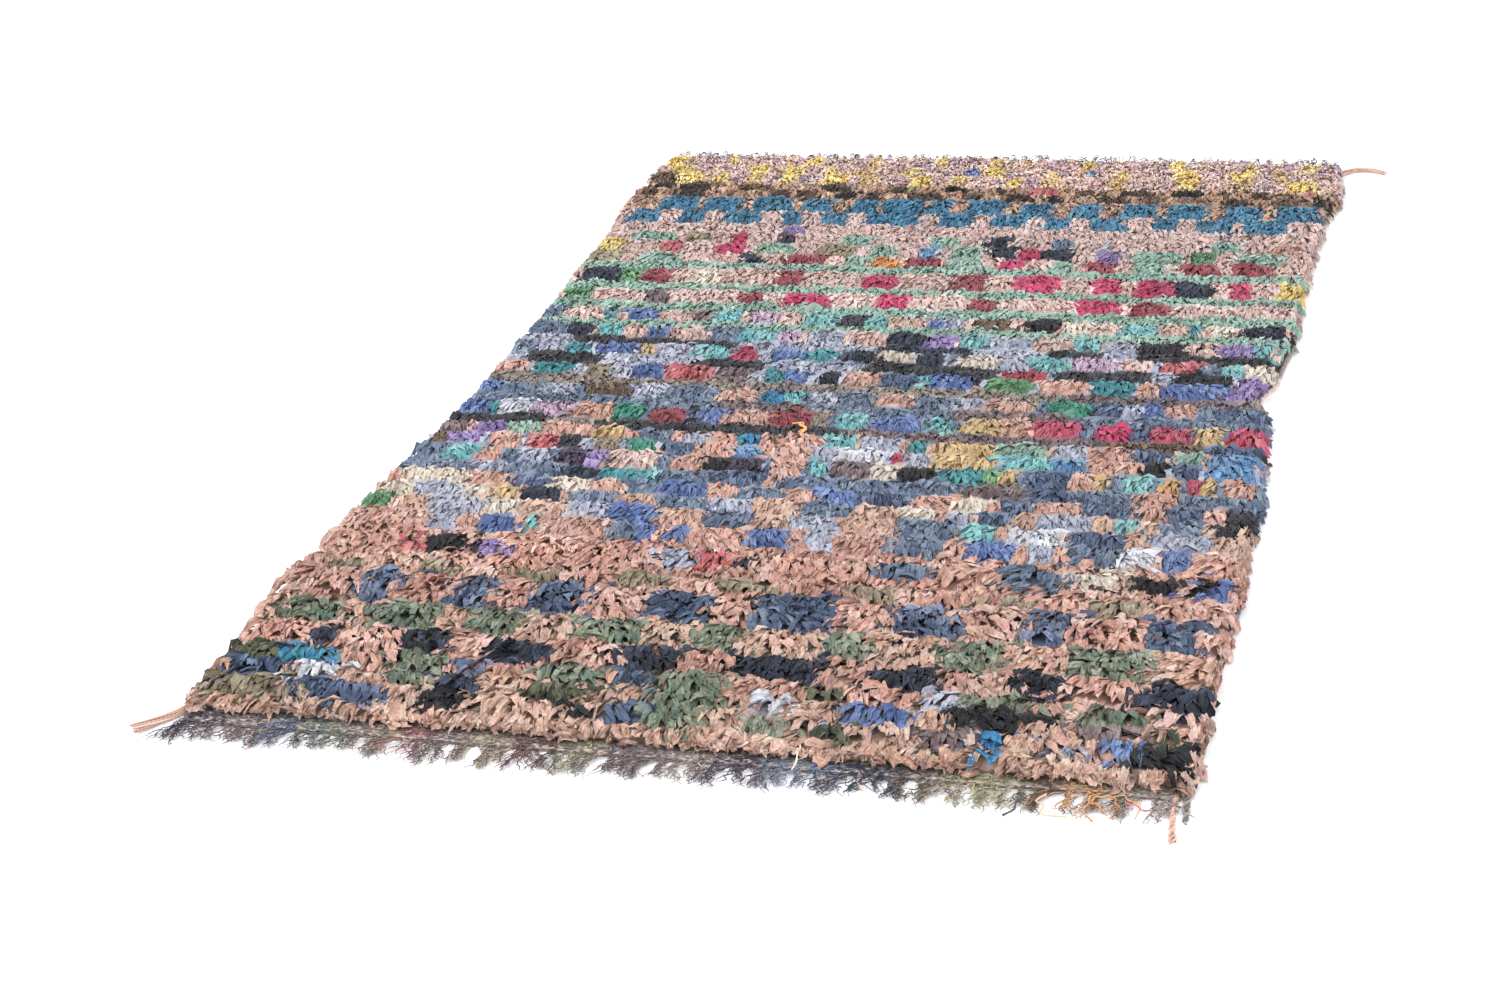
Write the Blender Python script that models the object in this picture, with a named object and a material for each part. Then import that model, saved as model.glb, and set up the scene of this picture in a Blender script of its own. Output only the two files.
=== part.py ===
"""A hand-knotted rag rug, lying flat.

The rug is a woven ground with a deep pile of knotted rag strips, made in one
piece. Its pile stands in rows of blocks, with grooves between them. Each side is
bound by a wrapped side cord, each end has a narrow woven web with a fringe of
warp loops, and the bundled warps of the side cords run on as tails at three
corners.

Units are metres, +Z is up, and the origin is on the floor under the rug's
middle. +X runs across the rug and +Y from its near end to its far end.
"""

import math
import random
from collections import namedtuple

import bmesh
import bpy
from mathutils import Vector

# Driving sizes
LENGTH = 2.327
END_SKEW = 0.020  # how far the right end of a row lies further along than its left
GAP = 0.0003  # between pieces that touch

# The two side edges, waisted in the middle
Station = namedtuple("Station", "y left right")
SIDE_STATIONS = (
    Station(-1.165, -0.732, 0.745),
    Station(-1.060, -0.730, 0.752),
    Station(-0.930, -0.731, 0.746),
    Station(-0.830, -0.748, 0.748),
    Station(-0.650, -0.740, 0.753),
    Station(-0.500, -0.731, 0.745),
    Station(-0.350, -0.722, 0.747),
    Station(-0.190, -0.710, 0.734),
    Station(-0.080, -0.704, 0.727),
    Station(0.050, -0.706, 0.702),
    Station(0.120, -0.708, 0.722),
    Station(0.300, -0.709, 0.733),
    Station(0.540, -0.720, 0.726),
    Station(0.700, -0.724, 0.728),
    Station(0.860, -0.742, 0.731),
    Station(1.030, -0.744, 0.749),
    Station(1.165, -0.728, 0.738),
)

# The rows of the pile from the near end: depth of the row, height of its crest (0 is
# a narrow row between the blocks), pitch of its blocks across the rug (0 is a row
# without blocks), x of the first block
Row = namedtuple("Row", "depth crest pitch first")
PILE_ROWS = (
    Row(0.035, 0.028, 0, 0),
    Row(0.045, 0.034, 0.240, -0.50),
    Row(0.045, 0.034, 0.220, -0.56),
    Row(0.045, 0.034, 0.200, -0.58),
    Row(0.065, 0.036, 0.183, -0.60),
    Row(0.080, 0.036, 0.180, -0.50),
    Row(0.097, 0.036, 0.183, -0.58),
    Row(0.040, 0.033, 0.180, -0.50),
    Row(0.035, 0, 0, 0),
    Row(0.045, 0.034, 0.260, -0.52),
    Row(0.030, 0, 0, 0),
    Row(0.055, 0.033, 0.180, -0.46),
    Row(0.055, 0.033, 0.200, -0.60),
    Row(0.045, 0.032, 0.170, -0.62),
    Row(0.045, 0.032, 0.170, -0.48),
    Row(0.045, 0.031, 0, 0),
    Row(0.060, 0.032, 0.150, -0.60),
    Row(0.050, 0.031, 0.150, -0.64),
    Row(0.045, 0.031, 0.160, -0.52),
    Row(0.030, 0, 0, 0),
    Row(0.060, 0.032, 0.150, -0.52),
    Row(0.030, 0, 0, 0),
    Row(0.055, 0.031, 0.150, -0.54),
    Row(0.030, 0, 0, 0),
    Row(0.060, 0.032, 0.160, -0.42),
    Row(0.030, 0, 0, 0),
    Row(0.060, 0.031, 0.150, -0.40),
    Row(0.025, 0, 0, 0),
    Row(0.060, 0.031, 0.150, -0.36),
    Row(0.025, 0, 0, 0),
    Row(0.055, 0.030, 0.150, -0.50),
    Row(0.035, 0, 0, 0),
    Row(0.060, 0.031, 0.170, -0.33),
    Row(0.030, 0, 0, 0),
    Row(0.080, 0.032, 0.160, -0.55),
    Row(0.030, 0, 0, 0),
    Row(0.055, 0.030, 0.190, -0.25),
    Row(0.060, 0.030, 0.200, -0.68),
    Row(0.055, 0.029, 0.200, -0.56),
    Row(0.055, 0.028, 0, 0),
    Row(0.060, 0.031, 0.110, -0.66),
    Row(0.080, 0.032, 0.110, -0.61),
    Row(0.080, 0.031, 0, 0),
    Row(0.055, 0.033, 0.150, -0.60),
    Row(0.055, 0.032, 0.150, -0.52),
    Row(0.055, 0.033, 0.150, -0.64),
)

# The pile's section
COLUMNS = 32
GROOVE_DROP = 0.012  # a groove between rows lies this far below the crests
PLAIN_ROW_HEIGHT = 0.024  # of the narrow rows between the blocks
BLOCK_CROWN = 0.010  # the middle of a block stands this far above its edges
UNEVENNESS = 0.003
RIM_HEIGHT = 0.021  # of the pile where it turns down at the rug's edge
LEDGE_HEIGHT = 0.011  # above the side cord, where the locks at the rim begin

# Locks of rag at the rim
LOCK_INSET = 0.0035
LOCK_REACH = (0.014, 0.030)
LOCK_DROP = 0.006
LOCK_SLANT = 0.010
LOCK_TIP_SHARE = 0.55

# Side cords
CORD_WIDTH = 0.011
CORD_HEIGHT = 0.0075
WRAP_SWELL = 0.0010  # how much the wrapping thickens and thins along the cord
# The cord's section, as shares of its width outwards and of its height
CORD_SECTION = ((0.0, 0.0), (0.85, 0.0), (1.0, 0.45), (0.55, 1.0), (0.0, 0.75))

# End webs and their fringes: depth of the web at the left and at the right, number of
# strands, shortest and longest strand, sideways wander of a strand's tip
Fringe = namedtuple("Fringe", "left_depth right_depth strands shortest longest wander")
NEAR_FRINGE = Fringe(0.034, 0.018, 90, 0.028, 0.068, 0.005)
FAR_FRINGE = Fringe(0.012, 0.012, 32, 0.014, 0.028, 0.004)
WEB_HEIGHT = 0.0032
FRINGE_CLEARANCE = 0.012  # of a web's end from the rug's corner, where the tails are
STRAND_WIDTH = 0.0054
STRAND_HEIGHT = 0.0026
# A strand's rings: share of its reach, share of its wander, share of its width
STRAND_RINGS = ((0.45, 0.20, 1.05), (1.0, 1.0, 0.5))

# Tails at the corners: name, end (-1 near, 1 far), height, then the route as rows of
# x, distance beyond the rug's end, width
TAILS = (
    ("tail_near_left", -1, 0.010, (
        (-0.7370, 0.0004, 0.014),
        (-0.7460, 0.0180, 0.016),
        (-0.7620, 0.0380, 0.018),
        (-0.7800, 0.0560, 0.022),
        (-0.7960, 0.0720, 0.028),
    )),
    ("tail_near_right", -1, 0.007, (
        (0.7395, 0.0004, 0.008),
        (0.7385, 0.0260, 0.009),
        (0.7405, 0.0550, 0.008),
        (0.7440, 0.0850, 0.009),
        (0.7500, 0.1200, 0.013),
    )),
    ("tail_near_right_short", -1, 0.006, (
        (0.7515, 0.0004, 0.010),
        (0.7545, 0.0220, 0.012),
        (0.7570, 0.0440, 0.011),
        (0.7590, 0.0720, 0.008),
    )),
    ("tail_far_right", 1, 0.008, (
        (0.7435, 0.0004, 0.014),
        (0.7560, 0.0200, 0.019),
        (0.7800, 0.0350, 0.017),
        (0.8060, 0.0340, 0.010),
        (0.8280, 0.0230, 0.005),
        (0.8410, 0.0130, 0.003),
    )),
)
# A tail's section, as shares of its half width and of its height
TAIL_SECTION = (
    (-0.8, 0.0), (0.8, 0.0), (1.0, 0.35), (0.75, 0.85), (0.3, 1.0), (0.0, 0.8),
    (-0.35, 1.0), (-0.78, 0.8), (-1.0, 0.35),
)

# Finishes: name, colour, roughness
FINISHES = {
    "rag_pile": ((0.46, 0.33, 0.28), 0.92),
    "web_yarn": ((0.20, 0.16, 0.15), 0.95),
    "side_wrap": ((0.40, 0.32, 0.29), 0.90),
    "warp_tail": ((0.50, 0.36, 0.28), 0.90),
}


def clear_scene():
    for item in list(bpy.data.objects):
        bpy.data.objects.remove(item)


def finish(name):
    colour, roughness = FINISHES[name]
    made = bpy.data.materials.get(name) or bpy.data.materials.new(name)
    made.use_nodes = True
    shader = made.node_tree.nodes["Principled BSDF"]
    shader.inputs["Base Color"].default_value = (*colour, 1.0)
    shader.inputs["Roughness"].default_value = roughness
    shader.inputs["Metallic"].default_value = 0.0
    return made


def piece(name, mesh, material):
    """One closed mesh as an object of its own, with its faces turned outwards."""
    bmesh.ops.recalc_face_normals(mesh, faces=mesh.faces)
    data = bpy.data.meshes.new(name)
    mesh.to_mesh(data)
    mesh.free()
    data.materials.append(finish(material))
    made = bpy.data.objects.new(name, data)
    bpy.context.scene.collection.objects.link(made)
    return made


def side_edges(y):
    """The left and right x of the rug at a station, eased between the table's rows."""
    first, last = SIDE_STATIONS[0], SIDE_STATIONS[-1]
    y = min(max(y, first.y), last.y)
    for low, high in zip(SIDE_STATIONS, SIDE_STATIONS[1:]):
        if y <= high.y:
            break
    share = (y - low.y) / (high.y - low.y)
    eased = share * share * (3 - 2 * share)
    left = low.left + (high.left - low.left) * eased
    right = low.right + (high.right - low.right) * eased
    return left, right


def rug_point(across, station):
    """The place on the ground of a share across the rug, 0 to 1, and a station."""
    left, right = side_edges(station)
    x = left + (right - left) * across
    return x, station + END_SKEW * (across - 0.5)


def pile_stations():
    """(station, row, whether on its crest) of each line of the pile."""
    lines = []
    station = -LENGTH / 2
    for row in PILE_ROWS:
        lines.append((station, row, False))
        if row.crest:
            lines.append((station + row.depth / 2, row, True))
        station += row.depth
    lines.append((LENGTH / 2, PILE_ROWS[-1], False))
    return lines


def pile_height(x, row, on_crest, draw):
    """Height of the pile over x, on the crest of a row or in the groove before it."""
    height = row.crest or PLAIN_ROW_HEIGHT
    if on_crest and row.pitch:
        height += BLOCK_CROWN / 2 * math.cos(math.tau * (x - row.first) / row.pitch)
    elif row.crest and not on_crest:
        height -= GROOVE_DROP
    return height + draw.uniform(-UNEVENNESS, UNEVENNESS)


def grow_lock(mesh, wall, draw):
    """A tapered four-sided lock of rag, which stands out of a face of the rim."""
    out = wall.normal.copy()
    bmesh.ops.inset_individual(mesh, faces=[wall], thickness=LOCK_INSET)
    grown = bmesh.ops.extrude_discrete_faces(mesh, faces=[wall])["faces"][0]
    along = out.cross(Vector((0, 0, 1)))
    reach = draw.uniform(*LOCK_REACH)
    step = out * reach + along * draw.uniform(-LOCK_SLANT, LOCK_SLANT)
    centre = grown.calc_center_median()
    for corner in grown.verts:
        corner.co = centre + (corner.co - centre) * LOCK_TIP_SHARE + step
        corner.co.z -= LOCK_DROP * reach / LOCK_REACH[1]


def build_rug():
    """The woven ground and its pile as one lumpy slab, with locks at its rim."""
    draw = random.Random(7)
    mesh = bmesh.new()
    lines = pile_stations()
    last = len(lines) - 1
    top = []
    for j, (station, row, on_crest) in enumerate(lines):
        line = []
        for i in range(COLUMNS + 1):
            x, y = rug_point(i / COLUMNS, station)
            height = pile_height(x, row, on_crest, draw)
            if i in (0, COLUMNS) or j in (0, last):
                height = RIM_HEIGHT + draw.uniform(-UNEVENNESS, UNEVENNESS)
            line.append(mesh.verts.new((x, y, height)))
        top.append(line)
    for near, far in zip(top, top[1:]):
        for i in range(COLUMNS):
            mesh.faces.new((near[i], near[i + 1], far[i + 1], far[i]))

    rim = list(top[0])
    rim += [line[-1] for line in top[1:]]
    rim += reversed(top[-1][:-1])
    rim += [line[0] for line in reversed(top[1:-1])]
    ledge = [mesh.verts.new((v.co.x, v.co.y, LEDGE_HEIGHT)) for v in rim]
    floor = [mesh.verts.new((v.co.x, v.co.y, 0.0)) for v in rim]
    walls = []
    for k, corner in enumerate(rim):
        after = (k + 1) % len(rim)
        walls.append(mesh.faces.new((corner, ledge[k], ledge[after], rim[after])))
        mesh.faces.new((ledge[k], floor[k], floor[after], ledge[after]))
    mesh.faces.new(floor)
    bmesh.ops.recalc_face_normals(mesh, faces=mesh.faces)

    right = range(COLUMNS, COLUMNS + last)
    far = range(right.stop, right.stop + COLUMNS)
    left = range(far.stop, far.stop + last)
    blocks = [bool(row.crest) for _, row, _ in lines[:-1]]
    chosen = walls[:COLUMNS:2]
    chosen += [walls[k] for k, block in zip(right, blocks) if block]
    chosen += [walls[k] for k in far[1::2]]
    chosen += [walls[k] for k, block in zip(left, reversed(blocks)) if block]
    for wall in chosen:
        grow_lock(mesh, wall, draw)
    return piece("rag_pile_rug", mesh, "rag_pile")


def build_side_cord(name, side, draw):
    """The wrapped bundle of warps that binds one side; side is -1 left, 1 right."""
    mesh = bmesh.new()
    rings = []
    for station, _, _ in pile_stations():
        x, y = rug_point(0.0 if side < 0 else 1.0, station)
        swell = 1 + WRAP_SWELL / CORD_HEIGHT * draw.uniform(-1.0, 1.0)
        rings.append([
            mesh.verts.new((
                x + side * (GAP + out * CORD_WIDTH * swell), y, up * CORD_HEIGHT * swell
            ))
            for out, up in CORD_SECTION
        ])
    loft(mesh, rings)
    return piece(name, mesh, "side_wrap")


def join_rings(mesh, near, far):
    """Side faces between two rings of corners."""
    for i in range(len(near)):
        after = (i + 1) % len(near)
        mesh.faces.new((near[i], near[after], far[after], far[i]))


def loft(mesh, rings):
    """A closed body through rings of corners."""
    for near, far in zip(rings, rings[1:]):
        join_rings(mesh, near, far)
    mesh.faces.new(rings[0])
    mesh.faces.new(rings[-1])


def end_line(end, x, beyond):
    """The y that lies this far beyond one end of the rug, at x."""
    left, right = side_edges(end * LENGTH / 2)
    across = (x - left) / (right - left)
    return end * (LENGTH / 2 + beyond) + END_SKEW * (across - 0.5)


def build_fringe(name, end, sizes, draw):
    """An end web with its strands; end is -1 for the near end and 1 for the far."""
    left, right = side_edges(end * LENGTH / 2)
    start, stop = left + FRINGE_CLEARANCE, right - FRINGE_CLEARANCE
    pitch = (stop - start) / sizes.strands
    mesh = bmesh.new()

    def depth(x):
        return sizes.left_depth + (sizes.right_depth - sizes.left_depth) * (x - start) / (stop - start)

    def corner(x, beyond, z):
        return mesh.verts.new((x, end_line(end, x, beyond), z))

    def web_ring(x):
        return [
            corner(x, GAP, 0.0), corner(x, depth(x), 0.0),
            corner(x, depth(x), WEB_HEIGHT), corner(x, GAP, WEB_HEIGHT),
        ]

    first = before = web_ring(start)
    for k in range(sizes.strands):
        after = web_ring(start + pitch * (k + 1))
        middle = start + pitch * (k + 0.5)
        reach = draw.uniform(sizes.shortest, sizes.longest)
        lean = draw.uniform(-sizes.wander, sizes.wander)
        rings = []
        for share, leant, wide in ((0.0, 0.0, 1.0), *STRAND_RINGS):
            x = middle + lean * leant
            half = STRAND_WIDTH * wide / 2
            left_side, right_side = depth(x - half) + reach * share, depth(x + half) + reach * share
            rings.append([
                corner(x - half, left_side, 0.0), corner(x + half, right_side, 0.0),
                corner(x + half, right_side, STRAND_HEIGHT), corner(x - half, left_side, STRAND_HEIGHT),
            ])
        low_left, low_right, high_right, high_left = rings[0]
        # Under, over and behind the web, then its edge around the strand's root
        mesh.faces.new((before[0], before[1], low_left, low_right, after[1], after[0]))
        mesh.faces.new((before[3], after[3], after[2], before[2]))
        mesh.faces.new((before[0], after[0], after[3], before[3]))
        mesh.faces.new((before[1], before[2], high_left, low_left))
        mesh.faces.new((after[1], low_right, high_right, after[2]))
        mesh.faces.new((before[2], after[2], high_right, high_left))
        for inner, outer in zip(rings, rings[1:]):
            join_rings(mesh, inner, outer)
        mesh.faces.new(rings[-1])
        before = after
    mesh.faces.new(first)
    mesh.faces.new(before)
    return piece(name, mesh, "web_yarn")


def build_tail(name, end, height, route):
    """A flattened bundle of warp ends along its route, resting on the floor."""
    mesh = bmesh.new()
    places = [Vector((x, end_line(end, x, beyond), 0.0)) for x, beyond, _ in route]
    rings = []
    for k, place in enumerate(places):
        # The root is square to the rug's end
        heading = Vector((0.0, end, 0.0))
        if k:
            heading = (places[min(k + 1, len(places) - 1)] - places[k - 1]).normalized()
        sideways = Vector((heading.y, -heading.x, 0.0))
        rings.append([
            mesh.verts.new(place + Vector((0.0, 0.0, up * height)) + sideways * out * route[k][2] / 2)
            for out, up in TAIL_SECTION
        ])
    loft(mesh, rings)
    return piece(name, mesh, "warp_tail")


def main():
    clear_scene()
    draw = random.Random(21)
    build_rug()
    build_side_cord("side_cord_left", -1, draw)
    build_side_cord("side_cord_right", 1, draw)
    build_fringe("near_fringe", -1, NEAR_FRINGE, draw)
    build_fringe("far_fringe", 1, FAR_FRINGE, draw)
    for name, end, height, route in TAILS:
        build_tail(name, end, height, route)


main()
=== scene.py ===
"""The looks of the boucherouite rug: its woven ground, the rag pile as single strips, the
side cords, the fringes and the warp tails, with a floor, soft light and a camera."""

import math
from collections import namedtuple
from functools import partial

import bpy
import numpy as np
from mathutils import Matrix


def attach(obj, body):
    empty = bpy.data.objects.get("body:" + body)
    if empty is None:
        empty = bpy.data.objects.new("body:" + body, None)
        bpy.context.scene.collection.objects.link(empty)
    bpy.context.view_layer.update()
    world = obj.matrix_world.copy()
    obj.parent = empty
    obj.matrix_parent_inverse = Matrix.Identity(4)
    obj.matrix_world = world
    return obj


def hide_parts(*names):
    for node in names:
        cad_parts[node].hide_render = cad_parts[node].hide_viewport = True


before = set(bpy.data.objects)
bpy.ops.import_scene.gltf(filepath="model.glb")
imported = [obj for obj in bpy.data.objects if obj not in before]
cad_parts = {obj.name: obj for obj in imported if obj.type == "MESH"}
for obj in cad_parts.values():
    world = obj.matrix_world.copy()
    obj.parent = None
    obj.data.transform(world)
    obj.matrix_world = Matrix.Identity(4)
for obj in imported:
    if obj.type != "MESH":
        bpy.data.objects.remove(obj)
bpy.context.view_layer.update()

draw = np.random.default_rng(11)

# The rug's plan, as in the CAD part, in metres
LENGTH = 2.327  # of the knotted pile
END_SKEW = 0.020  # how much further along the right end of a row lies
NEAR_WEB = (0.034, 0.018)  # depth of the flat web beyond the pile, at the left and right
FAR_WEB = (0.012, 0.012)
SIDE_STATIONS = (
    # y, left edge, right edge
    (-1.165, -0.732, 0.745),
    (-1.060, -0.730, 0.752),
    (-0.930, -0.731, 0.746),
    (-0.830, -0.748, 0.748),
    (-0.650, -0.740, 0.753),
    (-0.500, -0.731, 0.745),
    (-0.350, -0.722, 0.747),
    (-0.190, -0.710, 0.734),
    (-0.080, -0.704, 0.727),
    (0.050, -0.706, 0.702),
    (0.120, -0.708, 0.722),
    (0.300, -0.709, 0.733),
    (0.540, -0.720, 0.726),
    (0.700, -0.724, 0.728),
    (0.860, -0.742, 0.731),
    (1.030, -0.744, 0.749),
    (1.165, -0.728, 0.738),
)

# What each dye looks like: a strip takes one of these shades at random
DYES = {
    "peach": "DEAC9A E4B9A8 D09C89 EBC8BB D8A08D",
    "shell": "E2C1B5 EACEC4 D8B2A5 EFDAD2 D2AB9E",
    "sand": "DEB39D E3BDA9 D2A48D E8CAB9 D5A994",
    "blush": "E6C6BD EDD3CB DDB5A9 E3C2B9 F0DAD4",
    "khaki": "A2937A B0A187 8C7E66 BBAA92",
    "taupe": "9C8F88 A99A90 877B78 B5A596",
    "sage": "8A917D 979E88 70775F A8AD98 6C8474 7C8470",
    "olive": "4F5541 61664C 3C4235 7A7A5C",
    "green": "6AA070 7CAF7E 55895F",
    "emerald": "35A085 50B096 288872",
    "mint": "98BDA8 A6C8B5 88AE9A B4CFC0 9DB8B0",
    "aqua": "74C2C6 8FD0CF 5AAEB8 A5D6D4",
    "teal": "3D9BA4 55ACB2 2F8694",
    "azure": "2E86BE 3D9ACB 2768A8 3FA9B8",
    "sky": "6FA2CF 8AB3D8 588DC2",
    "petrol": "3788B2 4A98BF 2F789F 66A6C4 327198",
    "royal": "5C78B8 7189C4 48629F 8BA0CE",
    "denim": "5D6F90 7081A0 4A5B7B 8896B2 404F6E",
    "slate": "6D7E98 8191A9 586A85 99A6BA",
    "navy": "2B3040 363D50 22262F 455069",
    "lilac": "B6B9CC C3C6D6 A3A9C1 CFCFDB",
    "purple": "A48CC4 B59FD0 8C71B0",
    "orchid": "D3B2CC DEC4D8 C4A0C0",
    "plum": "4D4055 5D4C66 3F3548",
    "mauve": "7E6C70 8F7B7C 6A595E 9F8C8A",
    "brown": "6A5346 7D6450 574237 8E7357",
    "umber": "4A3A32 5C483C 3A2E2A 6E5647",
    "black": "252428 302F34 1C1B1F",
    "charcoal": "3E3E45 4B4B54 323238",
    "garnet": "A84A56 B65A66 943B49",
    "raspberry": "D2476E DA5F80 BF3A60 E07C8C",
    "pink": "DC3F73 E5598A C8305F",
    "wine": "6E4248 7E5054 5A3539 8B6468",
    "coral": "D97076 E18D8E C9636A",
    "gold": "DDBB85 E6C996 CFA96F",
    "orange": "EB9440 F2A65A D98330",
    "yellow": "F0CE64 F3D97E E6C058 F4E294",
    "cream": "E8DACA EFE5D8 DCCBB8",
    "white": "E2E2EA EDEDF1 D3D4E0",
    "straw": "A8A176 BDB48A 8A8564",
    "apricot": "E0A868 E8BC86 CF9158",
    "crimson": "B02F46 C24358",
    "rust": "DDB093 E6BE9B D29C7C C9A58E EBCBAE D8A98A 9C7364 6A5248",
    "confetti": "DCBDB2 E6C8B6 CFADB0 EDD3BC E2BEA2 C2A2B2 EDD8C8 AC9AB2 DDB8AE",
    "speckle": "C9B3C4 E3C3B0 B39DB4 DDB69C 6E6474 D9C2C9",
    "web": "9E9089 ACA098 85797A B9ADA4",
}

# A block of one dye in a row of the pile: x of its middle, and its width
Block = namedtuple("Block", "x dye width")
Row = namedtuple("Row", "depth crest ground blocks")

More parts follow.
